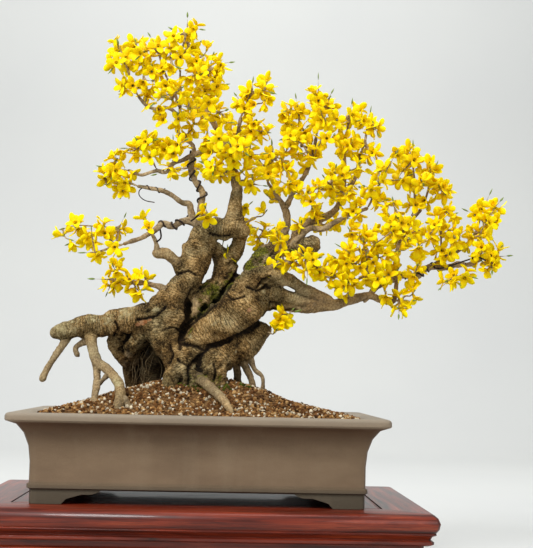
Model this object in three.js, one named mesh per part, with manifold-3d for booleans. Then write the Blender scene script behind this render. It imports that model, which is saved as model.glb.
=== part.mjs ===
// A forsythia bonsai in flower: an old trunk on exposed roots, in a shallow clay pot on a low wooden stand.
// Millimetres, +Z up. The stand's soles lie on z = 0, and the whole is centred on x = y = 0 at the end.
import * as THREE from "three";
import { mergeVertices } from "three/addons/utils/BufferGeometryUtils.js";
import Module from "manifold-3d";

const wasm = await Module();
wasm.setup();

const CLEARANCE = 0.3; // between pieces that rest on or in each other

// Stand
const STAND_HEIGHT = 112;
const STAND_HALF_X = 304; // top edge of the moulded frame
const STAND_HALF_Y = 200;
const STAND_MIDDLE_Y = 6; // the pot stands a little forward of the stand's middle
const FRAME_WIDTH = 56; // from the top edge to the panel
const FRAME_DEPTH = 41;
const PANEL_THICKNESS = 10;
const PANEL_GROOVE = 1.6; // shadow gap round the panel
const PANEL_LEDGE = 9; // what carries the panel's edge
const APRON_BOTTOM = 34; // height of the apron's lower edge
const STAND_FOOT = 46; // length of a corner foot along each side

// Pot
const POT_HEIGHT = 119;
const RIM_HALF_X = 254;
const RIM_HALF_Y = 185;
const RIM_CORNER = 15; // radius of the rim's corners
const LIP = 10.5; // height of the rim's upright face
const WALL_INSET = 31; // from the rim's outer edge in to the wall
const COVE_BOTTOM = 64; // below the rim: where the cove under the lip runs into the wall
const BELT_TOP = 92; // below the rim
const BODY_BOTTOM = 101; // below the rim
const BELT = 2.6; // how far the belt round the wall's foot stands out
const FLOOR_TOP = 91; // below the rim, inside
const INNER_EDGE = 35; // from the rim's outer edge in to the soil's edge
const INNER_WALL = 42; // the same, lower down
const FOOT_BAND = 16; // thickness of the feet
const DRAIN_RADIUS = 14;
const DRAIN_X = 110;
const SCREEN = 44; // side of the mesh square over a drain hole
const SCREEN_THICKNESS = 1.2;

// Soil mound
const SOIL_EDGE = -2.5; // height at the pot's wall, from the rim
const SOIL_RISE = 55; // of the mound over its edge
const MOUND = { x: 12, y: 25, left: 250, right: 218, front: 178, back: 135 };

// Flowers
const BLOOM_RADIUS = 14; // from the throat to a petal's end
const NOTCH_RADIUS = 5.2; // from the throat to where two petals part
const BLOOM_TUBE = 7.2; // from the twig's bark to the petals
const TWIG_TIP_RADIUS = 1.05;
const NODE_SPACING = 31; // bark between two pairs of buds
const NODE_LENGTH = 3.6; // bark that a pair of buds takes up
const TIP_BUD = 8; // pointed end of a shoot

const POT_SOLE = STAND_HEIGHT + CLEARANCE;
const RIM_Z = POT_SOLE + POT_HEIGHT;

// Everything random is drawn from one seeded row of numbers.
let seed = 20731;
function draw(low = 0, high = 1) {
  seed = (seed * 16807) % 2147483647;
  return low + ((high - low) * seed) / 2147483647;
}

// Solids

function solidFromArrays(corners, faces) {
  const geometry = new THREE.BufferGeometry();
  const numbers = corners.flatMap((corner) => [corner.x, corner.y, corner.z]);
  geometry.setAttribute("position", new THREE.Float32BufferAttribute(numbers, 3));
  geometry.setIndex(faces.flat());
  return solidFromGeometry(geometry);
}

function solidFromGeometry(geometry) {
  const bare = geometry.clone();
  bare.deleteAttribute("normal");
  bare.deleteAttribute("uv");
  const merged = mergeVertices(bare, 1e-3);
  const mesh = new wasm.Mesh({
    numProp: 3,
    vertProperties: merged.attributes.position.array,
    triVerts: new Uint32Array(merged.index.array),
  });
  return new wasm.Manifold(mesh);
}

function geometryFromSolid(solid) {
  const mesh = solid.getMesh();
  const geometry = new THREE.BufferGeometry();
  geometry.setAttribute("position", new THREE.Float32BufferAttribute(mesh.vertProperties, 3));
  geometry.setIndex(new THREE.Uint32BufferAttribute(mesh.triVerts, 1));
  return geometry;
}

function joined(solids) {
  return solids.reduce((whole, solid) => whole.add(solid));
}

function boxSolid(x0, x1, y0, y1, z0, z1) {
  const geometry = new THREE.BoxGeometry(x1 - x0, y1 - y0, z1 - z0);
  geometry.translate((x0 + x1) / 2, (y0 + y1) / 2, (z0 + z1) / 2);
  return solidFromGeometry(geometry);
}

// The corners of a rounded rectangle, anticlockwise seen from above.
function roundedRing(halfX, halfY, radius, z, arcSteps = 2) {
  const ring = [];
  const middles = [
    [halfX - radius, halfY - radius, 0],
    [radius - halfX, halfY - radius, 1],
    [radius - halfX, radius - halfY, 2],
    [halfX - radius, radius - halfY, 3],
  ];
  for (const [x, y, quarter] of middles) {
    for (let i = 0; i <= arcSteps; i++) {
      const angle = ((quarter + i / arcSteps) * Math.PI) / 2;
      ring.push(new THREE.Vector3(x + radius * Math.cos(angle), y + radius * Math.sin(angle), z));
    }
  }
  return ring;
}

// Faces between rings of equal count. Open rows get a flat cap at the first and the last ring.
function loft(rings, closed = false) {
  const count = rings[0].length;
  const faces = [];
  const rows = closed ? rings.length : rings.length - 1;
  for (let j = 0; j < rows; j++) {
    const low = j * count;
    const high = ((j + 1) % rings.length) * count;
    for (let i = 0; i < count; i++) {
      const k = (i + 1) % count;
      faces.push([low + i, low + k, high + k], [low + i, high + k, high + i]);
    }
  }
  if (!closed) {
    const last = (rings.length - 1) * count;
    for (let i = 1; i < count - 1; i++) {
      faces.push([0, i + 1, i], [last, last + i, last + i + 1]);
    }
  }
  return solidFromArrays(rings.flat(), faces);
}

// Pot

// A ring that lies `inset` inside the rim's outer edge, at a height from the rim.
function potRing(inset, height) {
  const radius = Math.max(RIM_CORNER - inset * 0.2, 4);
  return roundedRing(RIM_HALF_X - inset, RIM_HALF_Y - inset, radius, RIM_Z + height);
}

// The cove under the lip is a quarter of an ellipse: level under the lip, upright at the wall.
function coveRings(steps) {
  const rings = [];
  for (let i = 0; i <= steps; i++) {
    const angle = (i / steps) * (Math.PI / 2);
    const inset = WALL_INSET - (WALL_INSET - 3) * (1 - Math.cos(angle));
    rings.push(potRing(inset, -COVE_BOTTOM + (COVE_BOTTOM - LIP - 0.6) * Math.sin(angle)));
  }
  return rings;
}

// The outline of the arched opening between two corner feet, in the plane of the wall.
function footArch(halfLength, wayOut) {
  const sole = halfLength - WALL_INSET - 43;
  const height = POT_HEIGHT - BODY_BOTTOM + 2;
  const arch = new THREE.Shape();
  arch.moveTo(-sole, -1);
  arch.quadraticCurveTo(-sole + 5, 9, -sole + 18, 10);
  arch.quadraticCurveTo(-sole + 26, 14, -sole + 41, 13);
  arch.quadraticCurveTo(-sole + 50, 15, -sole + 55, height);
  arch.lineTo(sole - 55, height);
  arch.quadraticCurveTo(sole - 50, 15, sole - 41, 13);
  arch.quadraticCurveTo(sole - 26, 14, sole - 18, 10);
  arch.quadraticCurveTo(sole - 5, 9, sole, -1);
  const depth = wayOut * 2;
  const geometry = new THREE.ExtrudeGeometry(arch, { depth, bevelEnabled: false, curveSegments: 2 });
  geometry.translate(0, 0, -wayOut);
  geometry.rotateX(Math.PI / 2);
  return geometry;
}

function potSolid() {
  const feetTop = -BODY_BOTTOM + 2;
  const body = loft([
    potRing(WALL_INSET + 4, -BODY_BOTTOM),
    potRing(WALL_INSET, -BODY_BOTTOM + 1),
    potRing(WALL_INSET - BELT, -BODY_BOTTOM + 2.5),
    potRing(WALL_INSET - BELT, -BELT_TOP - 1.5),
    potRing(WALL_INSET, -BELT_TOP),
    ...coveRings(4),
    potRing(1.2, -LIP),
    potRing(0, -LIP + 1.5),
    potRing(0, -4),
    potRing(1.4, -1.3),
    potRing(4, 0),
    potRing(INNER_EDGE - 5, 0),
    potRing(INNER_EDGE - 2.6, -2),
    potRing(INNER_EDGE, -LIP - 4),
    potRing(INNER_WALL, -COVE_BOTTOM),
    potRing(INNER_WALL + 1, -FLOOR_TOP + 3),
    potRing(INNER_WALL + 5, -FLOOR_TOP),
  ]);
  const footBand = loft([potRing(WALL_INSET + 0.8, -POT_HEIGHT), potRing(WALL_INSET + 0.8, feetTop)]);
  const inside = loft([
    potRing(WALL_INSET + FOOT_BAND, -POT_HEIGHT - 1),
    potRing(WALL_INSET + FOOT_BAND, -BODY_BOTTOM),
  ]);
  const front = solidFromGeometry(footArch(RIM_HALF_X, RIM_HALF_Y)).translate(0, 0, POT_SOLE);
  const sideArch = footArch(RIM_HALF_Y, RIM_HALF_X);
  sideArch.rotateZ(Math.PI / 2);
  const sides = solidFromGeometry(sideArch).translate(0, 0, POT_SOLE);
  const feet = footBand.subtract(inside).subtract(front).subtract(sides);
  let pot = body.add(feet);
  for (const x of [-DRAIN_X, DRAIN_X]) {
    const drill = new THREE.CylinderGeometry(DRAIN_RADIUS, DRAIN_RADIUS, 40, 12);
    drill.rotateX(Math.PI / 2);
    drill.translate(x, 0, RIM_Z - FLOOR_TOP);
    pot = pot.subtract(solidFromGeometry(drill));
  }
  return pot;
}

function screenSolid(x) {
  const z = RIM_Z - FLOOR_TOP + CLEARANCE;
  let plate = boxSolid(x - SCREEN / 2, x + SCREEN / 2, -SCREEN / 2, SCREEN / 2, z, z + SCREEN_THICKNESS);
  for (const y of [-11, 0, 11]) {
    plate = plate.subtract(boxSolid(x - 16, x + 16, y - 3.4, y + 3.4, z - 1, z + SCREEN_THICKNESS + 1));
  }
  return plate;
}

// Soil

// The mound is round on the left and falls off straighter on the right, to the front and to the back.
function soilHeight(x, y) {
  const aside = x < MOUND.x ? ((MOUND.x - x) / MOUND.left) ** 2.4 : ((x - MOUND.x) / MOUND.right) ** 1.28;
  const away = (y < MOUND.y ? (MOUND.y - y) / MOUND.front : (y - MOUND.y) / MOUND.back) ** 1.7;
  const ripple = 1.6 * Math.sin(x / 17 + y / 29) + 1.3 * Math.sin(y / 13 - x / 41);
  const mound = SOIL_RISE * Math.max(0, 1 - aside) * Math.max(0, 1 - away);
  return SOIL_EDGE + mound + ripple * Math.min(1, mound / 8);
}

function soilSolid(rootsInSoil) {
  const gap = CLEARANCE + 1.5;
  const outer = potRing(INNER_EDGE + gap, SOIL_EDGE);
  const rings = [
    potRing(INNER_WALL + 5 + gap, -FLOOR_TOP + CLEARANCE),
    potRing(INNER_WALL + gap, -COVE_BOTTOM),
    potRing(INNER_EDGE + gap + 1, SOIL_EDGE - 8),
    outer,
  ];
  for (const share of [0.93, 0.78, 0.58, 0.37, 0.17]) {
    rings.push(
      outer.map((corner) => {
        const x = corner.x * share + MOUND.x * (1 - share);
        const y = corner.y * share + MOUND.y * (1 - share);
        return new THREE.Vector3(x, y, RIM_Z + soilHeight(x, y));
      }),
    );
  }
  let soil = loft(rings.map(withMidpoints)).subtract(joined(rootsInSoil));
  const half = SCREEN / 2 + CLEARANCE;
  const floor = RIM_Z - FLOOR_TOP;
  const roof = floor + SCREEN_THICKNESS + 2 * CLEARANCE;
  for (const x of [-DRAIN_X, DRAIN_X]) {
    soil = soil.subtract(boxSolid(x - half, x + half, -half, half, floor - 1, roof));
  }
  return soil;
}

// Long straight sides get corners of their own, so that the mound can bend along them.
function withMidpoints(ring) {
  const finer = [];
  ring.forEach((corner, i) => {
    const next = ring[(i + 1) % ring.length];
    finer.push(corner);
    const pieces = i % 3 === 2 ? 3 : 1;
    for (let k = 1; k < pieces; k++) {
      finer.push(corner.clone().lerp(next, k / pieces));
    }
  });
  return finer;
}

// Stand

function standRing(outset, z, corner = 4) {
  return roundedRing(STAND_HALF_X + outset, STAND_HALF_Y + outset, corner, z, 1).map((p) => {
    p.y += STAND_MIDDLE_Y;
    return p;
  });
}

// The moulded edge from the top down: a wide ovolo, a bead, a cove and a torus.
function standFrameSolid() {
  const top = STAND_HEIGHT;
  const ledgeTop = top - PANEL_THICKNESS - CLEARANCE;
  return loft(
    [
      standRing(0, top),
      standRing(-FRAME_WIDTH, top),
      standRing(-FRAME_WIDTH, ledgeTop),
      standRing(-FRAME_WIDTH - PANEL_LEDGE, ledgeTop),
      standRing(-FRAME_WIDTH - PANEL_LEDGE, top - FRAME_DEPTH + 12),
      standRing(-30, top - FRAME_DEPTH),
      standRing(-1, top - FRAME_DEPTH),
      standRing(3.4, top - 39),
      standRing(3.4, top - 35.5),
      standRing(-0.5, top - 33.5),
      standRing(1.5, top - 29),
      standRing(5.2, top - 27.6),
      standRing(6.6, top - 26),
      standRing(5.4, top - 24.6),
      standRing(9.4, top - 19),
      standRing(10.7, top - 12),
      standRing(8, top - 5),
      standRing(3.4, top - 1.2),
    ],
    true,
  );
}

function standPanelSolid() {
  const inset = -FRAME_WIDTH - PANEL_GROOVE;
  return loft([
    standRing(inset, STAND_HEIGHT - PANEL_THICKNESS),
    standRing(inset, STAND_HEIGHT - 1.2),
    standRing(inset - 1.2, STAND_HEIGHT),
  ]);
}

// The waist and the apron under the frame are one ring, its lower edge cut in a shallow arch on each side.
function standApronSolid() {
  const top = STAND_HEIGHT - FRAME_DEPTH - CLEARANCE;
  const ring = loft(
    [
      standRing(-8, top),
      standRing(-30, top),
      standRing(-30, APRON_BOTTOM),
      standRing(-6, APRON_BOTTOM),
      standRing(-1, APRON_BOTTOM + 6),
      standRing(0, APRON_BOTTOM + 16),
      standRing(-3, top - 10),
      standRing(-8, top - 8),
    ],
    true,
  );
  const front = apronArch(STAND_HALF_X, STAND_HALF_Y + 60);
  const side = apronArch(STAND_HALF_Y, STAND_HALF_X + 60);
  side.rotateZ(Math.PI / 2);
  return ring
    .subtract(solidFromGeometry(front).translate(0, STAND_MIDDLE_Y, 0))
    .subtract(solidFromGeometry(side).translate(0, STAND_MIDDLE_Y, 0));
}

function apronArch(halfLength, wayOut) {
  const end = halfLength - STAND_FOOT - 12;
  const arch = new THREE.Shape();
  arch.moveTo(-end, APRON_BOTTOM - 2);
  arch.lineTo(-end, APRON_BOTTOM);
  arch.quadraticCurveTo(-end + 6, APRON_BOTTOM + 9, -end + 30, APRON_BOTTOM + 10);
  arch.lineTo(end - 30, APRON_BOTTOM + 10);
  arch.quadraticCurveTo(end - 6, APRON_BOTTOM + 9, end, APRON_BOTTOM);
  arch.lineTo(end, APRON_BOTTOM - 2);
  const depth = wayOut * 2;
  const geometry = new THREE.ExtrudeGeometry(arch, { depth, bevelEnabled: false, curveSegments: 3 });
  geometry.translate(0, 0, -wayOut);
  geometry.rotateX(Math.PI / 2);
  return geometry;
}

// A corner foot is an L seen from above, drawn in towards its sole. Its hollow corner comes first in each
// ring, since the caps fan out from there.
function standFootSolid(signX, signY) {
  const top = APRON_BOTTOM - CLEARANCE;
  const wall = 22;
  const levels = [
    [0, 3, STAND_FOOT],
    [7, 4, STAND_FOOT - 6],
    [22, 9, STAND_FOOT - 16],
    [top, 6.5, STAND_FOOT],
  ];
  const rings = levels.map(([z, inset, length]) => {
    const outerX = STAND_HALF_X - inset;
    const outerY = STAND_HALF_Y - inset;
    const ring = [
      [outerX - wall, outerY - wall],
      [outerX - wall, outerY - length],
      [outerX, outerY - length],
      [outerX, outerY],
      [outerX - length, outerY],
      [outerX - length, outerY - wall],
    ].map(([x, y]) => new THREE.Vector3(signX * x, signY * y + STAND_MIDDLE_Y, z));
    return signX * signY < 0 ? [ring[0], ...ring.slice(1).reverse()] : ring;
  });
  return loft(rings);
}

// Tree

// Stations of the wood: x, depth behind the middle plane, height above the rim, radius.
// They are drawn as the tree looks from the front, from EYE. A station off the middle plane is slid along
// the line of sight, so that it keeps its place in that view.
const EYE = new THREE.Vector3(20, -1796, 54);

function place([x, depth, height]) {
  const reach = 1 - depth / EYE.y;
  return new THREE.Vector3(
    EYE.x + (x - EYE.x) * reach,
    depth,
    RIM_Z + EYE.z + (height - EYE.z) * reach,
  );
}

const WOOD = {
  trunk: [
    [-22, 8, 24, 24],
    [-27, 4, 58, 25],
    [-41, 0, 88, 23],
    [-56, 0, 115, 27],
    [-54, 0, 140, 31],
    [-44, 0, 165, 23],
    [-25, 2, 188, 19],
    [-18, 4, 211, 21],
    [-10, 6, 236, 23],
    [-3, 6, 255, 22],
    [10, 6, 267, 17],
    [26, 4, 269, 15],
    [42, 2, 270, 14],
    [56, 0, 266, 10],
  ],
  surface_root: [
    [-48, 4, 136, 26],
    [-84, 2, 133, 22],
    [-119, 0, 131, 18.5],
    [-143, -4, 123, 17.5],
    [-172, -8, 122, 15.5],
    [-200, -10, 113, 13.5],
    [-213, -12, 111, 9],
  ],
  hanging_root: [
    [-195, -10, 110, 8],
    [-201, -10, 96, 6.5],
    [-218, -14, 69, 4.8],
    [-227, -16, 52, 4.8],
    [-230, -16, 44, 6],
  ],
  standing_root: [
    [-163, -8, 114, 10],
    [-160, -20, 90, 7.6],
    [-153, -36, 71, 7.2],
    [-136, -58, 58, 6.8],
    [-121, -80, 40, 7.5],
    [-117, -98, 20, 8],
    [-121, -110, 2, 7.5],
    [-124, -116, -12, 5],
  ],
  forked_root: [
    [-158, -22, 82, 6],
    [-153, -36, 58, 5.2],
    [-152, -62, 40, 5.4],
    [-155, -92, 14, 5],
    [-156, -102, -2, 4.6],
  ],
  crossing_root: [
    [-133, -60, 56, 3.6],
    [-141, -62, 46, 3.4],
    [-151, -66, 36, 3.2],
  ],
  toe_root: [
    [-117, -97, 24, 5],
    [-106, -108, 9, 4.2],
    [-98, -116, -6, 3.2],
  ],
  hooked_stub: [
    [-164, -4, 100, 5.6],
    [-177, -4, 95.5, 4.7],
    [-185, -6, 88, 3.9],
    [-181, -8, 79, 4.4],
  ],
  rear_root_flap: [
    [-121, 12, 122, 14],
    [-127, 20, 98, 12],
    [-119, 26, 80, 9.5],
    [-113, 30, 68, 6],
  ],
  rear_root_ridge: [
    [-84, 14, 124, 17],
    [-95, 22, 100, 13.5],
    [-106, 28, 82, 10.5],
    [-112, 31, 70, 7],
  ],
  cave_root: [
    [-54, 24, 112, 18],
    [-66, 34, 84, 16],
    [-74, 42, 56, 15],
    [-78, 48, 18, 13],
  ],
  base_front: [
    [-34, -8, 88, 20],
    [-28, -14, 66, 21],
    [-16, -20, 44, 18],
    [-10, -22, 12, 15],
  ],
  bulb_root: [
    [-38, -16, 62, 12],
    [-45, -26, 48, 12.5],
    [-47, -34, 38, 11],
    [-42, -42, 14, 8],
  ],
  toe_front: [
    [-8, -24, 52, 8.5],
    [4, -46, 43, 7.6],
    [16, -72, 33, 7],
    [28, -98, 22, 6.5],
    [37, -116, 12, 5.5],
    [45, -126, -2, 4],
  ],
  base_middle: [
    [0, -4, 98, 19],
    [14, -12, 68, 21],
    [18, -14, 46, 18],
    [16, -16, 12, 14],
  ],
  leaning_trunk: [
    [-16, 2, 66, 24],
    [-5, -4, 108, 25],
    [14, -8, 122, 29],
    [34, -10, 134, 31],
    [57, -10, 160, 33],
    [76, -8, 184, 28],
    [90, -4, 198, 20],
  ],
  right_root: [
    [14, 0, 64, 20],
    [40, 2, 88, 20],
    [64, 4, 99, 20],
    [82, 4, 112, 13],
    [92, 4, 120, 8],
  ],
  right_leg: [
    [52, 6, 86, 10],
    [62, 8, 70, 6],
    [72, 8, 48, 5],
    [77, 8, 22, 5],
  ],
  right_fine_leg: [
    [68, 10, 84, 6],
    [76, 6, 64, 3.6],
    [87, 4, 54, 2.8],
    [89, 4, 26, 2.6],
  ],
  left_leg_behind: [
    [46, 16, 84, 9],
    [50, 20, 64, 6],
    [54, 24, 22, 6],
  ],
  back_root: [
    [8, 22, 92, 17],
    [20, 44, 64, 13],
    [30, 66, 42, 10],
    [36, 90, 12, 7],
  ],
  rear_left_root: [
    [-46, 22, 96, 14],
    [-60, 52, 62, 9],
    [-76, 78, 34, 7],
    [-88, 100, 4, 5],
  ],
  rear_trunk: [
    [18, 18, 138, 20],
    [24, 26, 186, 17],
    [30, 26, 216, 14],
    [47, 22, 242, 10],
    [51, 16, 262, 10],
    [46, 8, 282, 11],
  ],
  leader: [
    [34, 4, 268, 14],
    [41, 6, 292, 12],
    [43, 8, 313, 9.5],
    [44, 8, 333, 8.5],
    [38, 8, 352, 8],
    [34, 8, 372, 7],
    [28, 10, 391, 6.4],
    [16, 12, 412, 5.4],
    [4, 12, 430, 4.8],
    [-8, 10, 456, 3.6],
  ],
  mossy_limb: [
    [56, 10, 150, 22],
    [72, 18, 190, 22],
    [84, 24, 222, 20],
    [98, 28, 240, 14],
    [110, 28, 249, 9],
  ],
  curled_branch: [
    [68, -14, 186, 22],
    [92, -20, 196, 14],
    [110, -24, 199, 11],
    [124, -24, 196, 9.5],
    [140, -20, 186, 8.5],
    [158, -14, 178, 8],
    [182, -10, 168, 7],
  ],
  low_right: [
    [68, 0, 150, 18],
    [92, 0, 160, 11],
    [116, -2, 158, 8.5],
    [139, -4, 155, 8],
    [165, -6, 157, 8],
    [189, -8, 160, 8],
    [206, -8, 166, 7.5],
    [222, -8, 170, 7],
    [243, -6, 176, 6],
    [263, -4, 168, 4.4],
    [276, -4, 167, 4.2],
    [281, -2, 182, 3.6],
    [282, 0, 197, 3.6],
  ],
  far_right: [
    [236, -7, 168, 3.4],
    [254, -4, 190, 5],
    [272, -2, 199, 5],
    [294, 0, 207, 5],
    [311, 2, 206, 5.5],
    [326, 2, 218, 5.2],
    [341, 2, 221, 5],
    [358, 0, 220, 4.6],
    [371, 0, 225, 4.2],
    [388, -2, 225, 3.8],
    [406, -4, 233, 3],
  ],
  far_right_rise: [
    [336, 2, 221, 4.4],
    [358, 6, 237, 3.6],
    [373, 8, 245, 3.2],
    [388, 8, 258, 2.6],
  ],
  first_crown_branch: [
    [100, 28, 240, 10],
    [112, 26, 256, 7],
    [119, 24, 276, 6],
    [118, 22, 294, 5.6],
    [112, 20, 307, 4.6],
    [100, 14, 324, 3.4],
    [90, 8, 338, 2.6],
  ],
  first_crown_fork: [
    [115, 21, 300, 4.6],
    [132, 22, 334, 4],
    [142, 24, 349, 3.6],
    [152, 22, 372, 3],
    [160, 16, 410, 2.2],
  ],
  second_crown_branch: [
    [108, 28, 243, 10],
    [129, 20, 249, 8.5],
    [134, 16, 266, 7],
    [150, 12, 281, 6.4],
    [168, 10, 287, 6],
    [185, 8, 297, 5.6],
    [197, 6, 312, 5.2],
    [201, 4, 336, 4.4],
    [203, 4, 364, 3.6],
    [200, 6, 391, 2.6],
  ],
  parallel_branch: [
    [130, 10, 247, 6.5],
    [137, 2, 258, 5.2],
    [154, -6, 273, 4.6],
    [171, -12, 272, 4.2],
    [189, -16, 282, 3.8],
    [210, -20, 294, 3.2],
    [236, -18, 304, 2.6],
  ],
  round_burl: [
    [118, 20, 240, 9],
    [134, 12, 242, 12],
    [146, 8, 244, 15.5],
    [157, 6, 246, 11],
  ],
  middle_rise: [
    [199, 6, 320, 3.6],
    [214, 10, 340, 3],
    [222, 12, 360, 2.6],
    [227, 10, 388, 2.2],
  ],
  outer_rise: [
    [281, 0, 202, 4.4],
    [281, 6, 230, 3.8],
    [288, 8, 258, 3.4],
    [300, 10, 284, 3.2],
    [316, 10, 304, 2.6],
  ],
  front_band: [
    [88, -24, 204, 6],
    [100, -36, 216, 3.8],
    [118, -42, 222, 3],
    [138, -46, 218, 2.4],
  ],
  cut_branch: [
    [-34, 0, 205, 11],
    [-44, -2, 220, 8],
    [-56, -4, 229, 8.4],
    [-71, -6, 230, 7],
  ],
  cut_branch_twig: [
    [-70, -6, 231, 4.5],
    [-72, -12, 243, 3.4],
    [-78, -16, 257, 2.6],
    [-86, -18, 266, 2.2],
  ],
  left_low: [
    [-6, 2, 274, 7],
    [-26, 0, 279, 6],
    [-36, -2, 278, 5],
    [-48, -4, 270, 4.6],
    [-62, -4, 274, 4.4],
    [-75, -5, 264, 4.2],
    [-92, -6, 253, 3.4],
    [-118, -10, 243, 2.6],
  ],
  left_hanging: [
    [-50, -2, 172, 7],
    [-66, -8, 181, 4.4],
    [-84, -12, 185, 3.4],
    [-104, -14, 187, 2.6],
  ],
  upper_left_low: [
    [-14, 2, 270, 4],
    [-22, 0, 290, 5],
    [-25, -4, 303, 4.6],
    [-36, -8, 306, 4],
    [-58, -14, 320, 3.5],
    [-73, -16, 324, 3],
    [-100, -18, 328, 2.3],
  ],
  wired_upright: [
    [-6, 6, 266, 10],
    [-8.5, 6, 299, 5.5],
    [-6.5, 6, 321, 5.2],
    [-17.7, 4, 338, 5],
    [-24, 2, 353, 4.6],
    [-23.5, 0, 369, 4.2],
    [-22, 2, 390, 3.6],
    [-44, 2, 409, 3],
    [-43, 0, 441, 2.6],
    [-43, -2, 476, 2.3],
    [-45, -2, 505, 1.9],
  ],
  leader_left: [
    [33, 8, 376, 5],
    [18, 2, 383, 3.8],
    [0, -4, 385, 3.6],
    [-16, -8, 380, 3.4],
    [-37, -12, 369, 3.1],
    [-52, -14, 362, 2.9],
    [-61, -14, 350, 2.8],
    [-74, -14, 352, 2.6],
    [-98, -16, 345, 2.3],
    [-114, -18, 351, 2],
  ],
  leader_right: [
    [32, 8, 376, 5],
    [41, 4, 396, 3.4],
    [44, 2, 415, 3],
    [47, 0, 434, 2.4],
  ],
  far_left_rise: [
    [-42, 1, 432, 2.9],
    [-60, 4, 446, 2.6],
    [-80, 4, 444, 2.6],
    [-94, 2, 450, 2.3],
    [-104, 0, 461, 2.1],
  ],
  slanting_rise: [
    [-43, -1, 448, 2.5],
    [-51, -8, 466, 2.2],
    [-62, -12, 488, 1.9],
  ],
};

// Radius of the flutes and swellings that old wood shows, as a share of the radius.
const GNARL = 0.085;

function sidesFor(radius) {
  if (radius > 17) return 8;
  if (radius > 11) return 6;
  if (radius > 6) return 5;
  if (radius > 3.4) return 4;
  return 3;
}

// Directions across a curve that turn as little as they can from station to station.
function carriedFrames(points, tangents) {
  const frames = [];
  let side = new THREE.Vector3(0.31, -0.9, 0.3);
  for (let i = 0; i < points.length; i++) {
    side = side.clone().addScaledVector(tangents[i], -side.dot(tangents[i])).normalize();
    frames.push({ side, across: new THREE.Vector3().crossVectors(tangents[i], side) });
  }
  return frames;
}

// Wood between stations, with its radius running evenly from one station to the next. A wired branch gets
// more rows, so that its wire lies close.
function limb(stations, extra = 0, wired = false) {
  const curve = new THREE.CatmullRomCurve3(stations.map(place), false, "centripetal");
  const radii = stations.map((station) => station[3]);
  const largest = Math.max(...radii);
  const sides = sidesFor(radii.reduce((sum, radius) => sum + radius) / radii.length);
  const length = curve.getLength();
  const spacing = largest > 20 ? 22 : 10 + 0.8 * (largest + Math.min(...radii));
  const rows = wired
    ? Math.round(1.5 * stations.length)
    : Math.max(2, Math.min(Math.round(length / spacing), stations.length));
  const points = [];
  const tangents = [];
  const sizes = [];
  for (let j = 0; j <= rows; j++) {
    const t = j / rows;
    const at = t * (radii.length - 1);
    const i = Math.min(Math.floor(at), radii.length - 2);
    points.push(curve.getPoint(t));
    tangents.push(curve.getTangent(t));
    sizes.push(radii[i] + (radii[i + 1] - radii[i]) * (at - i) + extra);
  }
  points[0].addScaledVector(tangents[0], -extra);
  points[rows].addScaledVector(tangents[rows], extra);
  const frames = carriedFrames(points, tangents);
  const gnarl = largest > 7 ? GNARL : 0;
  const rings = points.map((point, j) => {
    const ring = [];
    for (let k = 0; k < sides; k++) {
      const angle = (2 * Math.PI * k) / sides;
      const swell = 1 + gnarl * Math.sin(3 * angle + 1.9 * j) + gnarl * 0.6 * Math.cos(2 * angle - 2.6 * j);
      const out = sizes[j] * swell;
      const corner = point.clone();
      corner.addScaledVector(frames[j].side, out * Math.cos(angle));
      corner.addScaledVector(frames[j].across, out * Math.sin(angle));
      ring.push(corner);
    }
    return ring;
  });
  return loft(rings);
}

// Growth: a closed body of three-sided stems. Any of its faces can be taken out, and a side stem or a
// bloom stands on that face's three corners, so that a spray is one closed surface.

class Growth {
  constructor() {
    this.corners = [];
    this.faces = [];
  }

  addCorner(point) {
    this.corners.push(point);
    return this.corners.length - 1;
  }

  centreOf(face) {
    const middle = new THREE.Vector3();
    face.forEach((i) => middle.addScaledVector(this.corners[i], 1 / 3));
    return middle;
  }

  normalOf(face) {
    const [a, b, c] = face.map((i) => this.corners[i]);
    return new THREE.Vector3().crossVectors(b.clone().sub(a), c.clone().sub(a)).normalize();
  }

  band(low, high) {
    const made = [];
    for (let k = 0; k < 3; k++) {
      const n = (k + 1) % 3;
      made.push([low[k], low[n], high[n]], [low[k], high[n], high[k]]);
    }
    this.faces.push(...made);
    return made;
  }

  solid() {
    return solidFromArrays(this.corners, this.faces);
  }
}

function triangleRing(growth, centre, direction, side, radius) {
  const flat = side.clone().addScaledVector(direction, -side.dot(direction)).normalize();
  const across = new THREE.Vector3().crossVectors(direction, flat);
  const ring = [0, 1, 2].map((k) => {
    const angle = (2 * Math.PI * k) / 3;
    const corner = centre.clone();
    corner.addScaledVector(flat, radius * Math.cos(angle));
    corner.addScaledVector(across, radius * Math.sin(angle));
    return growth.addCorner(corner);
  });
  return { ring, flat, across };
}

// The side direction for a stem's first ring that turns its corners to those of the face it leaves.
function squareToFace(growth, face, direction) {
  const centre = growth.centreOf(face);
  const bend = new THREE.Quaternion().setFromUnitVectors(growth.normalOf(face), direction);
  const side = new THREE.Vector3();
  face.forEach((i, k) => {
    const out = growth.corners[i].clone().sub(centre).normalize().applyQuaternion(bend);
    side.add(out.applyAxisAngle(direction, (-2 * Math.PI * k) / 3));
  });
  return side.normalize();
}

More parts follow.
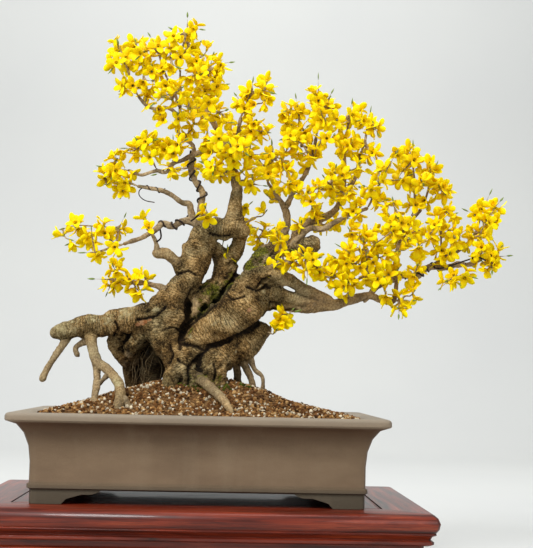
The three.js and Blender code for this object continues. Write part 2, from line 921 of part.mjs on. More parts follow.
// A stem along a curve, from a face of the growth or, with no face, from a flat cut end. It thins to a
// pointed bud. Each pair of buds has a short stretch of its own, whose six faces are places for blooms.
function growStem(growth, curve, from, startRadius, endRadius, face = null) {
  const length = curve.getLength() * (1 - from);
  const pairs = Math.max(1, Math.round((length - TIP_BUD) / (NODE_SPACING + NODE_LENGTH)));
  const step = (length * 0.94) / pairs;
  const places = [];
  const siteFaces = [];
  for (let i = 0; i < pairs; i++) {
    const start = face ? (i + 0.55) * step : (i + 0.4) * step;
    places.push({ at: start, site: true }, { at: start + NODE_LENGTH, site: false });
  }
  let ring;
  let side;
  const shareAt = (distance) => Math.min(1, from + ((1 - from) * distance) / length);
  const pointAt = (distance) => curve.getPointAt(shareAt(distance));
  const directionAt = (distance) => curve.getTangentAt(shareAt(distance));
  if (face) {
    growth.faces.splice(growth.faces.indexOf(face), 1);
    ring = face;
    side = squareToFace(growth, face, directionAt(places[0].at));
  } else {
    const lead = new THREE.Vector3(0.2, 1, 0.4);
    const start = triangleRing(growth, pointAt(0), directionAt(0), lead, startRadius);
    ring = start.ring;
    side = start.flat;
    growth.faces.push([ring[0], ring[2], ring[1]]);
  }
  places.forEach((spot, i) => {
    const share = spot.at / length;
    const radius = startRadius + (endRadius - startRadius) * share + (spot.site ? 0 : 0.12);
    const direction = directionAt(spot.at);
    const twist = spot.site && i > 0 ? -Math.PI / 3 : 0;
    const turned = side.clone().applyAxisAngle(direction, twist);
    const next = triangleRing(growth, pointAt(spot.at), direction, turned, radius);
    const made = growth.band(ring, next.ring);
    if (!spot.site) {
      siteFaces.push(made);
    }
    ring = next.ring;
    side = next.flat;
  });
  const tip = growth.addCorner(pointAt(length));
  for (let k = 0; k < 3; k++) {
    growth.faces.push([ring[k], ring[(k + 1) % 3], tip]);
  }
  return siteFaces;
}

// A bloom: four petals round a sunken throat, on a tube that narrows to the face it grows from. Its rim
// has a corner for each notch between two petals and two for each petal's blunt end.
const RIM_CORNERS = 12;
const RIM_ANGLES = [0, 0.45, 1.12]; // a notch and the two corners of the petal after it

function bloomParts(growth, face, axis, spin, size) {
  const base = growth.centreOf(face);
  const middle = base.clone().addScaledVector(axis, BLOOM_TUBE * size);
  const toCorner = growth.corners[face[0]].clone().sub(base);
  const flat = toCorner.addScaledVector(axis, -toCorner.dot(axis)).normalize();
  const across = new THREE.Vector3().crossVectors(axis, flat);
  const baseAngles = face.map((i) => {
    const out = growth.corners[i].clone().sub(base);
    return Math.atan2(out.dot(across), out.dot(flat));
  });
  const rim = [];
  const owners = [];
  for (let k = 0; k < RIM_CORNERS; k++) {
    const petal = Math.floor(k / 3);
    const isNotch = k % 3 === 0;
    const angle = spin + (petal * Math.PI) / 2 + RIM_ANGLES[k % 3];
    const reach = isNotch ? NOTCH_RADIUS : BLOOM_RADIUS;
    const lift = isNotch ? -0.6 : 2.6 + 1.5 * Math.sin(2.4 * petal + 9 * spin);
    const corner = middle.clone().addScaledVector(axis, lift * size);
    corner.addScaledVector(flat, reach * size * Math.cos(angle));
    corner.addScaledVector(across, reach * size * Math.sin(angle));
    rim.push(corner);
    owners.push(nearestAngle(angle, baseAngles));
  }
  const throat = middle.clone().addScaledVector(axis, -1.6 * size);
  return { rim, owners, throat };
}

function nearestAngle(angle, angles) {
  const nearness = angles.map((other) => Math.cos(angle - other));
  return nearness.indexOf(Math.max(...nearness));
}

// Each corner of the rim hangs on the base corner that owns it, the nearest one seen along the axis.
function bloomFaces(base, rim, owners, throat) {
  const faces = [];
  for (let k = 0; k < RIM_CORNERS; k++) {
    const n = (k + 1) % RIM_CORNERS;
    const owner = base[owners[k]];
    const nextOwner = base[owners[n]];
    faces.push([rim[k], rim[n], throat], [owner, rim[n], rim[k]]);
    if (owner !== nextOwner) {
      faces.push([owner, nextOwner, rim[n]]);
    }
  }
  return faces;
}

// The bloom as a closed body of its own, which is tried against its neighbours before it is kept.
function bloomSolid(growth, face, parts) {
  const corners = [...face.map((i) => growth.corners[i]), ...parts.rim, parts.throat];
  const rim = parts.rim.map((_, k) => k + 3);
  const faces = bloomFaces([0, 1, 2], rim, parts.owners, RIM_CORNERS + 3);
  return solidFromArrays(corners, [...faces, [0, 2, 1]]);
}

function addBloom(growth, face, parts) {
  growth.faces.splice(growth.faces.indexOf(face), 1);
  const rim = parts.rim.map((corner) => growth.addCorner(corner));
  const throat = growth.addCorner(parts.throat);
  growth.faces.push(...bloomFaces(face, rim, parts.owners, throat));
}

// Shoots. Each row: the branch it grows from and the station there, its tip, how much of it is old wood,
// how far it bows up, and its side shoots, each by its place along the young wood and its tip.
const SHOOTS = [
  [
    "left_low", 7, [-178, -18, 228], 0, -2,
    [[0, [-119, 16, 284]], [0.2, [-158, 8, 268]], [0.45, [-210, -10, 262]], [0.6, [-200, 10, 240]]],
  ],
  ["left_hanging", 3, [-164, -22, 190], 0, 2, [[0.25, [-142, 4, 168]], [0.5, [-134, -34, 210]]]],
  ["leader_left", 9, [-158, -22, 356], 0, 0, [[0.3, [-136, -4, 376]], [0.3, [-140, -34, 340]]]],
  ["upper_left_low", 6, [-148, -22, 330], 0, 4, [[0.3, [-126, -2, 312]]]],
  ["leader_left", 7, [-104, -22, 396], 0, 3, [[0.3, [-124, -10, 384]], [0.35, [-78, -30, 398]]]],
  ["leader_left", 5, [-52, -20, 402], 0, 0, [[0, [-32, -36, 400]], [0.3, [-72, -2, 384]]]],
  [
    "wired_upright", 10, [-36, -2, 588], 0, 0,
    [[0.1, [-66, -12, 540]], [0.15, [-14, 10, 548]], [0.4, [-60, 10, 566]], [0.45, [-14, -14, 566]]],
  ],
  [
    "slanting_rise", 2, [-92, -8, 556], 0, 0,
    [[0.05, [-48, -22, 508]], [0.3, [-108, -22, 520]], [0.5, [-66, 4, 548]]],
  ],
  [
    "far_left_rise", 4, [-138, -2, 544], 0, -6,
    [[0, [-132, 14, 470]], [0.15, [-84, -16, 486]], [0.35, [-146, -8, 500]], [0.5, [-104, 10, 524]]],
  ],
  [
    "leader", 9, [4, 6, 528], 0, 2,
    [[0.15, [-32, -4, 494]], [0.3, [24, 14, 484]], [0.5, [32, -2, 518]], [0.6, [-22, 8, 530]]],
  ],
  ["leader", 8.2, [26, -20, 446], 0.25, 0, [[0, [-30, -34, 446]], [0.4, [8, -36, 462]]]],
  ["leader_right", 3, [64, -2, 492], 0, -4, [[0.35, [92, -10, 474]], [0.4, [38, 8, 470]]]],
  ["leader_right", 2, [88, -8, 414], 0, 3, [[0.4, [70, -24, 432]]]],
  ["leader", 5, [84, -18, 382], 0.25, 2, [[0.35, [62, -36, 398]]]],
  ["leader", 4, [-8, -26, 366], 0.25, -4, [[0.4, [8, -36, 350]]]],
  ["leader", 3.4, [86, -16, 334], 0.25, 0, [[0.4, [66, -32, 350]]]],
  ["leader", 5.5, [40, 92, 416], 0.35, 8, [[0.2, [74, 70, 400]]]],
  ["leader", 7, [-46, 88, 452], 0.35, 8, [[0.5, [-30, 92, 486]]]],
  ["leader", 3, [-44, 84, 352], 0.35, 8, [[0.45, [-78, 74, 346]]]],
  ["leader", 4.6, [30, -92, 396], 0.3, 6, [[0.35, [58, -84, 380]], [0.45, [2, -80, 400]]]],
  ["wired_upright", 8, [-66, -74, 462], 0.3, 8, [[0.35, [-40, -76, 478]], [0.4, [-84, -58, 450]]]],
  ["trunk", 9.4, [-2, -38, 300], 0.3, 3, []],
  [
    "first_crown_branch", 6, [94, 2, 398], 0, 0,
    [[0, [124, -14, 340]], [0.3, [116, -6, 368]], [0.35, [76, 18, 372]]],
  ],
  [
    "first_crown_fork", 4, [161, 12, 500], 0, 0,
    [[0.1, [186, 2, 440]], [0.2, [144, 28, 446]], [0.45, [182, 18, 478]]],
  ],
  [
    "first_crown_fork", 1.2, [128, 4, 470], 0.4, 0,
    [[0.15, [108, 16, 404]], [0.35, [146, -8, 424]], [0.55, [112, -6, 446]]],
  ],
  ["first_crown_fork", 2.6, [164, -30, 398], 0, 0, [[0.4, [138, -40, 384]]]],
  ["second_crown_branch", 9, [212, 8, 464], 0, 2, [[0.2, [178, -6, 424]], [0.5, [232, 20, 440]]]],
  [
    "middle_rise", 3, [240, 6, 452], 0, 0,
    [[0, [250, -18, 372]], [0.2, [252, -10, 416]], [0.45, [222, -8, 436]]],
  ],
  [
    "second_crown_branch", 6.3, [172, -42, 350], 0.3, 0,
    [[0.3, [152, -34, 326]], [0.5, [190, -56, 366]]],
  ],
  [
    "parallel_branch", 6, [280, -30, 390], 0, 4,
    [[0.25, [232, -52, 338]], [0.5, [300, -4, 356]], [0.6, [258, 6, 372]]],
  ],
  ["outer_rise", 3.2, [304, 2, 402], 0, 0, [[0.3, [282, 22, 350]], [0.4, [322, -14, 346]]]],
  ["outer_rise", 4, [340, 6, 374], 0, -3, [[0.3, [352, -8, 330]]]],
  [
    "outer_rise", 2, [262, -36, 272], 0, 4,
    [[0, [300, -46, 262]], [0.3, [282, -48, 292]], [0.4, [240, -46, 240]]],
  ],
  [
    "far_right_rise", 3, [421, 2, 334], 0, -4,
    [[0.2, [408, -16, 268]], [0.45, [438, -6, 324]], [0.5, [384, 16, 306]]],
  ],
  ["far_right", 10, [450, -8, 240], 0, 2, [[0.4, [424, -20, 214]]]],
  [
    "far_right", 6, [351, -12, 308], 0, 0,
    [[0, [318, -28, 250]], [0.3, [332, -34, 290]], [0.35, [368, -30, 266]]],
  ],
  ["far_right", 7.4, [376, -44, 196], 0, -6, [[0.3, [346, -50, 188]], [0.4, [398, -40, 206]]]],
  [
    "front_band", 3, [192, -52, 204], 0, 5,
    [[0, [128, -64, 240]], [0, [150, -64, 196]], [0.4, [168, -72, 230]]],
  ],
  [
    "low_right", 6, [222, -44, 222], 0.2, 0,
    [[0, [258, -44, 204]], [0, [206, -54, 186]], [0.4, [232, -48, 258]], [0.5, [196, -58, 248]]],
  ],
  ["low_right", 9, [308, -26, 170], 0.1, 2, [[0.3, [286, -38, 146]]]],
  ["second_crown_branch", 5, [196, 96, 356], 0.35, 8, [[0.3, [226, 84, 336]]]],
  ["second_crown_branch", 3, [176, 108, 272], 0.35, 8, [[0.3, [206, 92, 288]]]],
  ["outer_rise", 1.2, [296, 86, 262], 0.3, 8, [[0.3, [326, 70, 276]], [0.45, [266, 90, 286]]]],
  ["mossy_limb", 2.5, [66, 96, 254], 0.35, 10, [[0.3, [92, 104, 270]], [0.45, [40, 92, 272]]]],
  ["right_root", 3.6, [136, -18, 150], 0.25, 6, []],
];

// Finds a point, the direction and the radius on a branch at a station.
function stationOn(name, station) {
  const rows = WOOD[name];
  const curve = new THREE.CatmullRomCurve3(rows.map(place), false, "centripetal");
  const t = station / (rows.length - 1);
  const i = Math.min(Math.floor(station), rows.length - 2);
  const radius = rows[i][3] + (rows[i + 1][3] - rows[i][3]) * (station - i);
  const atEnd = station === rows.length - 1;
  return { point: curve.getPoint(t), direction: curve.getTangent(t), radius, atEnd };
}

// A shoot's line: from its branch to its tip, bowed up, with small bends drawn at random.
function shootCurve(start, lead, tip, bow) {
  const span = tip.clone().sub(start);
  const bend = span.length() * 0.05;
  const points = [start];
  if (lead) {
    points.push(start.clone().addScaledVector(lead, 5).addScaledVector(span, 0.04));
  }
  for (const share of [0.36, 0.7]) {
    const point = start.clone().addScaledVector(span, share);
    point.add(new THREE.Vector3(draw(-bend, bend), draw(-bend, bend), draw(-bend, bend) + bow));
    points.push(point);
  }
  points.push(tip);
  return new THREE.CatmullRomCurve3(points, false, "centripetal");
}

const OLD_SHOOT_RADIUS = 3.4;
const YOUNG_RADIUS = 1.75;
const SIDE_SHOOT_RADIUS = 1.15;
const THICK_BRANCH = 6; // radius
const START_STEP = 0.4; // between the starts that are tried for a shoot's young wood
const STARTS = 60;
const SMALLEST_OVERLAP = 1e-12; // cubic millimetres

// A shoot's line, and how far along it the old wood goes that is fused to the tree. Only a shoot on a thick
// branch, and one that stands out far, has some.
function planShoot([parent, station, tipRow, oldShare, bow]) {
  const origin = stationOn(parent, station);
  const curve = shootCurve(origin.point, origin.atEnd ? origin.direction : null, place(tipRow), bow);
  const length = curve.getLength();
  const hasOldWood = !origin.atEnd && (oldShare > 0 || origin.radius > THICK_BRANCH);
  if (!hasOldWood) {
    const radius = origin.atEnd ? Math.min(origin.radius * 0.95, 2.1) : YOUNG_RADIUS;
    return { curve, old: null, oldLength: 0, radius };
  }
  const oldLength = Math.max(oldShare * length, origin.radius + 5);
  const old = oldWood(curve, oldLength, Math.min(origin.radius * 0.8, OLD_SHOOT_RADIUS));
  return { curve, old, oldLength, radius: YOUNG_RADIUS };
}

// The young wood is a body of its own. It starts at the first place along the line that is clear of the tree.
function growShoot(plan, sideRows, tree, others) {
  const { curve, oldLength, radius } = plan;
  const length = curve.getLength();
  let from = oldLength;
  for (let i = 0; i < STARTS; i++) {
    const trial = new Growth();
    growStem(trial, curve, from / length, radius, TWIG_TIP_RADIUS);
    if (clearOf(trial.solid(), tree)) {
      break;
    }
    from += START_STEP;
  }
  const growth = new Growth();
  const places = growStem(growth, curve, (from + CLEARANCE) / length, radius, TWIG_TIP_RADIUS);
  for (const [share, sideTip] of sideRows) {
    const at = Math.min(places.length - 1, Math.round(share * places.length));
    growSideShoot(growth, places, at, place(sideTip), [tree, ...others]);
  }
  return { growth, places };
}

function oldWood(curve, oldLength, startRadius) {
  const length = curve.getLength();
  const rows = Math.max(1, Math.round(oldLength / 34));
  const points = [];
  const tangents = [];
  for (let j = 0; j <= rows; j++) {
    const share = (oldLength / length) * (j / rows);
    points.push(curve.getPointAt(share));
    tangents.push(curve.getTangentAt(share));
  }
  const frames = carriedFrames(points, tangents);
  const rings = points.map((point, j) => {
    const radius = startRadius + (YOUNG_RADIUS + 0.15 - startRadius) * (j / rows);
    return [0, 1, 2].map((k) => {
      const angle = (2 * Math.PI * k) / 3;
      const corner = point.clone().addScaledVector(frames[j].side, radius * Math.cos(angle));
      return corner.addScaledVector(frames[j].across, radius * Math.sin(angle));
    });
  });
  return loft(rings);
}

// A side shoot leaves by the free face that looks most nearly its way, of those from where it clears
// the wood and the other shoots.
function growSideShoot(growth, places, at, tip, others) {
  const turnOf = (face) => tip.clone().sub(growth.centreOf(face)).normalize().dot(growth.normalOf(face));
  const near = [places[at], places[at + 1] ?? [], places[at - 1] ?? []].flat();
  const free = near.filter((face) => growth.faces.includes(face)).sort((a, b) => turnOf(b) - turnOf(a));
  const own = growth.solid();
  for (const face of free) {
    const curve = shootCurve(growth.centreOf(face), growth.normalOf(face), tip, 3);
    const trial = new Growth();
    const foot = face.map((i) => trial.addCorner(growth.corners[i].clone()));
    trial.faces.push(foot, [foot[0], foot[2], foot[1]]);
    growStem(trial, curve, 0, SIDE_SHOOT_RADIUS, TWIG_TIP_RADIUS * 0.8, foot);
    if ([own, ...others].every((other) => clearOf(trial.solid(), other))) {
      places.push(...growStem(growth, curve, 0, SIDE_SHOOT_RADIUS, TWIG_TIP_RADIUS * 0.8, face));
      return;
    }
  }
}

function clearOf(solid, other) {
  return solid.intersect(other).volume() < SMALLEST_OVERLAP;
}

const REACH_OF_BLOOM = 34; // two blooms whose middles are farther apart can't touch
const TRIES = 5;
const BLOOMS_AT_A_PAIR = 2;

// Puts blooms on a spray, each only where it clears the wood, the twigs and the blooms already there.
function addBlooms(growth, places, neighbours) {
  for (const faces of places) {
    let wanted = BLOOMS_AT_A_PAIR;
    for (const face of [0, 2, 4, 1, 3, 5].map((k) => faces[k])) {
      if (wanted === 0 || !growth.faces.includes(face)) {
        continue;
      }
      const parts = openBloom(growth, face, neighbours);
      if (parts) {
        addBloom(growth, face, parts);
        wanted -= 1;
      }
    }
  }
}

function openBloom(growth, face, neighbours) {
  const normal = growth.normalOf(face);
  for (let i = 0; i < TRIES; i++) {
    const lean = new THREE.Vector3(draw(-1, 1), draw(-1, 1), draw(-1, 0.8)).multiplyScalar(0.42);
    const axis = normal.clone().add(lean).normalize();
    const parts = bloomParts(growth, face, axis, draw(-0.3, 0.3), draw(0.9, 1.08));
    const solid = bloomSolid(growth, face, parts);
    const isFar = (other) => other.middle && other.middle.distanceTo(parts.throat) > REACH_OF_BLOOM;
    const clear = neighbours.every((other) => isFar(other) || clearOf(solid, other.solid));
    if (clear) {
      neighbours.push({ middle: parts.throat, solid });
      return parts;
    }
  }
  return null;
}

// Training wire, wound round a branch from one station to another.
function wireSolid(name, from, to, turns, wireRadius) {
  const rows = WOOD[name];
  const steps = Math.round(turns * 6);
  const middles = [];
  const tangents = [];
  const reaches = [];
  for (let i = 0; i <= steps; i++) {
    const station = from + ((to - from) * i) / steps;
    const at = stationOn(name, station);
    middles.push(at.point);
    tangents.push(at.direction);
    reaches.push(at.radius + wireRadius + WIRE_SLACK);
  }
  const frames = carriedFrames(middles, tangents);
  const line = middles.map((middle, i) => {
    const angle = (2 * Math.PI * turns * i) / steps;
    const point = middle.clone().addScaledVector(frames[i].side, reaches[i] * Math.cos(angle));
    return point.addScaledVector(frames[i].across, reaches[i] * Math.sin(angle));
  });
  const ways = line.map((_, i) => {
    const before = line[Math.max(i - 1, 0)];
    const after = line[Math.min(i + 1, steps)];
    return after.clone().sub(before).normalize();
  });
  const wireFrames = carriedFrames(line, ways);
  const rings = line.map((point, i) =>
    [0, 1, 2].map((k) => {
      const angle = (2 * Math.PI * k) / 3;
      const corner = point.clone().addScaledVector(wireFrames[i].side, wireRadius * Math.cos(angle));
      return corner.addScaledVector(wireFrames[i].across, wireRadius * Math.sin(angle));
    }),
  );
  return loft(rings);
}

// Roots that reach into the soil, and training wires: their branch, first and last station, turns, radius.
const ROOTS_IN_SOIL = [
  "trunk",
  "standing_root",
  "forked_root",
  "toe_root",
  "cave_root",
  "base_front",
  "bulb_root",
  "toe_front",
  "base_middle",
  "leaning_trunk",
  "right_root",
  "right_leg",
  "right_fine_leg",
  "left_leg_behind",
  "back_root",
  "rear_left_root",
];
const WIRE_SLACK = 1.1; // from the bark to the wire
const WIRES = [
  ["wire_upright", "wired_upright", 1.1, 5.6, 6, 1.3],
  ["wire_left", "left_low", 1.2, 4.6, 5, 1.1],
  ["wire_far_right", "far_right", 3.2, 5.6, 4, 1.3],
];

// Assembly

const group = new THREE.Group();

function addPiece(name, geometry, color, roughness, metalness = 0) {
  const mesh = new THREE.Mesh(geometry, new THREE.MeshStandardMaterial({ color, roughness, metalness }));
  mesh.name = name;
  group.add(mesh);
}

const wiredBranches = WIRES.map((row) => row[1]);
const woodSolids = Object.entries(WOOD).map(([name, rows]) => limb(rows, 0, wiredBranches.includes(name)));
const plans = SHOOTS.map(planShoot);
const tree = joined([...woodSolids, ...plans.filter((plan) => plan.old).map((plan) => plan.old)]);
const shoots = [];
SHOOTS.forEach((row, i) => {
  const others = shoots.map((shoot) => shoot.growth.solid());
  shoots.push(growShoot(plans[i], row[5], tree, others));
});
const rootsInSoil = ROOTS_IN_SOIL.map((name) => limb(WOOD[name], CLEARANCE + 0.15));

addPiece("pot", geometryFromSolid(potSolid()), 0x6b625a, 0.8);
addPiece("drain_screen_left", geometryFromSolid(screenSolid(-DRAIN_X)), 0x2c2f2c, 0.6);
addPiece("drain_screen_right", geometryFromSolid(screenSolid(DRAIN_X)), 0x2c2f2c, 0.6);
addPiece("soil", geometryFromSolid(soilSolid(rootsInSoil)), 0x7a5a3c, 0.95);
addPiece("stand_frame", geometryFromSolid(standFrameSolid()), 0x4a1f14, 0.3);
addPiece("stand_panel", geometryFromSolid(standPanelSolid()), 0x52241a, 0.3);
addPiece("stand_apron", geometryFromSolid(standApronSolid()), 0x4a1f14, 0.35);
for (const [name, signX, signY] of [
  ["stand_foot_front_left", -1, -1],
  ["stand_foot_front_right", 1, -1],
  ["stand_foot_back_left", -1, 1],
  ["stand_foot_back_right", 1, 1],
]) {
  addPiece(name, geometryFromSolid(standFootSolid(signX, signY)), 0x4a1f14, 0.35);
}
addPiece("tree", geometryFromSolid(tree), 0x8a7558, 0.9);
for (const [name, branch, from, to, turns, radius] of WIRES) {
  addPiece(name, geometryFromSolid(wireSolid(branch, from, to, turns, radius)), 0x2b2522, 0.5, 0.6);
}

const neighbours = [{ solid: tree }, ...shoots.map((shoot) => ({ solid: shoot.growth.solid() }))];
shoots.forEach((shoot, i) => {
  addBlooms(shoot.growth, shoot.places, neighbours);
  const name = "spray_" + String(i + 1).padStart(2, "0");
  addPiece(name, geometryFromSolid(shoot.growth.solid()), 0xe8bd0a, 0.6);
});

// The middle of the whole goes to x = y = 0.
const box = new THREE.Box3().setFromObject(group);
const middle = box.getCenter(new THREE.Vector3());
group.position.set(-middle.x, -middle.y, 0);

export default group;
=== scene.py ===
"""A forsythia bonsai in bloom, in its clay pot on a rosewood stand: the looks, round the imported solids."""

import bpy
import numpy as np
from mathutils import Matrix, Vector
from mathutils.bvhtree import BVHTree


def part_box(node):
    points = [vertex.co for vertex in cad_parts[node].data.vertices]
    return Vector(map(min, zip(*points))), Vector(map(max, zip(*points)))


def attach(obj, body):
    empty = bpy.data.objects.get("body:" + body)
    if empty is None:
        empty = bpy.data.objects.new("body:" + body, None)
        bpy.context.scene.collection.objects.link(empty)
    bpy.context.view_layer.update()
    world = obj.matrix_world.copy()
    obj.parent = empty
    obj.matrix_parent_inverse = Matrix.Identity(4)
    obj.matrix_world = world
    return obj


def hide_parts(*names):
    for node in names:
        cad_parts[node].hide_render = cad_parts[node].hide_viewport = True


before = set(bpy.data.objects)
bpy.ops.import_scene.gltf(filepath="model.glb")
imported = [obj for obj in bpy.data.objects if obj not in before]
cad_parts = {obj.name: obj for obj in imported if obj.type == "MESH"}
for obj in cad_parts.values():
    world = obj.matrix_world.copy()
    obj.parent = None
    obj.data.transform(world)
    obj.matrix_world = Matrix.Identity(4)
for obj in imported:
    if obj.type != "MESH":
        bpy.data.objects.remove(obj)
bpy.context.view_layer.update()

MM = 0.001
rng = np.random.default_rng(4127)

# The middle of the pot's rim is the origin that the tree is drawn from.
pot_low, pot_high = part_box("pot")
MIDDLE = np.array([(pot_low.x + pot_high.x) / 2, (pot_low.y + pot_high.y) / 2, pot_high.z])

# Where the photograph was taken from, measured from the middle of the rim, in metres and degrees.
EYE = np.array([0.0199, -1.7964, 0.0542])
YAW, PITCH, ROLL = 2.247, 4.752, 1.272
PHOTO_FOCAL_PIXELS = 1230
PHOTO_WIDTH, PHOTO_HEIGHT = 533, 548
SENSOR = 36


# Meshes

def new_mesh(name, points, faces, smooth=True):
    """A mesh object at the origin, from an array of points and a list of arrays of faces."""
    mesh = bpy.data.meshes.new(name)
    mesh.from_pydata(np.asarray(points, float).tolist(), [], [f for a in faces for f in a.tolist()])
    mesh.update()
    mesh.polygons.foreach_set("use_smooth", np.full(len(mesh.polygons), smooth))
    made = bpy.data.objects.new(name, mesh)
    bpy.context.scene.collection.objects.link(made)
    return made


def finish_piece(made, material, nodes=()):
    """Gives a piece its material and its body, and hides the solids that it stands for."""
    made.data.materials.clear()
    made.data.materials.append(material)
    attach(made, "root")
    if nodes:
        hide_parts(*nodes)
    return made


def set_number(made, name, values):
    """Stores one number for each point of the mesh."""
    layer = made.data.attributes.new(name, "FLOAT", "POINT")
    layer.data.foreach_set("value", np.asarray(values, np.float32).ravel())


def set_colour(made, name, values):
    """Stores one colour for each point of the mesh."""
    layer = made.data.attributes.new(name, "FLOAT_COLOR", "POINT")
    rgba = np.concatenate([values, np.ones((len(values), 1))], 1)
    layer.data.foreach_set("color", rgba.astype(np.float32).ravel())


def welded(node):
    """A CAD node's points and triangles, with its loose triangles joined at their corners."""
    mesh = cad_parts[node].data
    points = np.empty(len(mesh.vertices) * 3, np.float32)
    mesh.vertices.foreach_get("co", points)
    corners = np.empty(len(mesh.loops), np.int32)
    mesh.loops.foreach_get("vertex_index", corners)
    whole = np.round(points.reshape(-1, 3) * 1e6).astype(np.int64)
    _, first, same = np.unique(whole, axis=0, return_index=True, return_inverse=True)
    triangles = same.reshape(-1)[corners].reshape(-1, 3)
    keep = (triangles[:, 0] != triangles[:, 1]) & (triangles[:, 1] != triangles[:, 2])
    keep &= triangles[:, 0] != triangles[:, 2]
    return points.reshape(-1, 3)[first].astype(float), triangles[keep]


def grid_quads(rows, columns):
    """The quads between the rows of a grid whose last column meets its first."""
    i, j = np.meshgrid(np.arange(rows - 1), np.arange(columns), indexing="ij")
    n = (j + 1) % columns
    quads = [i * columns + j, i * columns + n, (i + 1) * columns + n, (i + 1) * columns + j]
    return np.stack(quads, -1).reshape(-1, 4)


def unit(vectors):
    return vectors / np.maximum(np.linalg.norm(vectors, axis=-1, keepdims=True), 1e-12)


def carried_frames(line):
    """Tangents of a line of points, and two directions across it that turn as little as they can."""
    tangents = unit(np.gradient(line, axis=0))
    sides = np.empty_like(line)
    side = np.array([0.31, -0.9, 0.3])
    for i, tangent in enumerate(tangents):
        side = unit(side - tangent * (side @ tangent))
        sides[i] = side
    return tangents, sides, np.cross(tangents, sides)


def tube(line, radii, sides, swell=None):
    """Circles square to a line, closed by a dome at each end.

    A point is line + radius * swell(row, angle) * (side * cos(angle) + across * sin(angle)). In the domes the
    radius falls as a cosine while the middle moves on along the tangent as the sine.
    """
    tangents, side, across = carried_frames(line)
    dome = np.radians([72, 48, 24])
    lines = [line[0] - tangents[0] * radii[0] * np.sin(dome)[:, None], line]
    lines.append(line[-1] + tangents[-1] * radii[-1] * np.sin(dome[::-1])[:, None])
    middles = np.concatenate(lines)
    row_radii = np.concatenate([radii[0] * np.cos(dome), radii, radii[-1] * np.cos(dome[::-1])])
    repeat = np.concatenate([[0] * 3, np.arange(len(line)), [len(line) - 1] * 3])
    angle = np.arange(sides) * 2 * np.pi / sides
    factor = np.ones((len(line), sides)) if swell is None else swell(np.arange(len(line))[:, None], angle[None])
    out = side[repeat][:, None] * np.cos(angle)[None, :, None] + across[repeat][:, None] * np.sin(angle)[None, :, None]
    rings = middles[:, None] + out * (row_radii[:, None] * factor[repeat])[..., None]
    rows = len(middles)
    poles = np.array([line[0] - tangents[0] * radii[0], line[-1] + tangents[-1] * radii[-1]])
    points = np.concatenate([rings.reshape(-1, 3), poles])
    j = np.arange(sides)
    n = (j + 1) % sides
    low = np.stack([n, j, np.full(sides, rows * sides)], -1)
    last = (rows - 1) * sides
    high = np.stack([last + j, last + n, np.full(sides, rows * sides + 1)], -1)
    return points, grid_quads(rows, sides), np.concatenate([low, high])


def joined(shapes):
    """Several shapes, each its points, quads and triangles, as one."""
    starts = np.cumsum([0] + [len(s[0]) for s in shapes])
    points = np.concatenate([s[0] for s in shapes])
    quads = np.concatenate([s[1] + start for s, start in zip(shapes, starts)])
    triangles = np.concatenate([s[2] + start for s, start in zip(shapes, starts)])
    return points, quads, triangles


def waves(points, length, seed, count=14):
    """A smooth random field: the mean of sines in random directions, with wavelengths round the given one."""
    draw = np.random.default_rng(seed)
    directions = unit(draw.normal(size=(count, 3)))
    sizes = 2 * np.pi / (length * draw.uniform(0.65, 1.5, count))
    phase = draw.uniform(0, 2 * np.pi, count)
    return np.sin(points @ (directions * sizes[:, None]).T + phase).sum(1) / np.sqrt(count / 2)


def smooth_step(value, low, high):
    share = np.clip((value - low) / (high - low), 0, 1)
    return share * share * (3 - 2 * share)


# Materials

def paint(red, green, blue):
    """A colour as the eye names it, from 0 to 255 a channel, in linear light."""
    share = np.array([red, green, blue]) / 255
    linear = np.where(share <= 0.04045, share / 12.92, ((share + 0.055) / 1.055) ** 2.4)
    return (*linear.tolist(), 1.0)


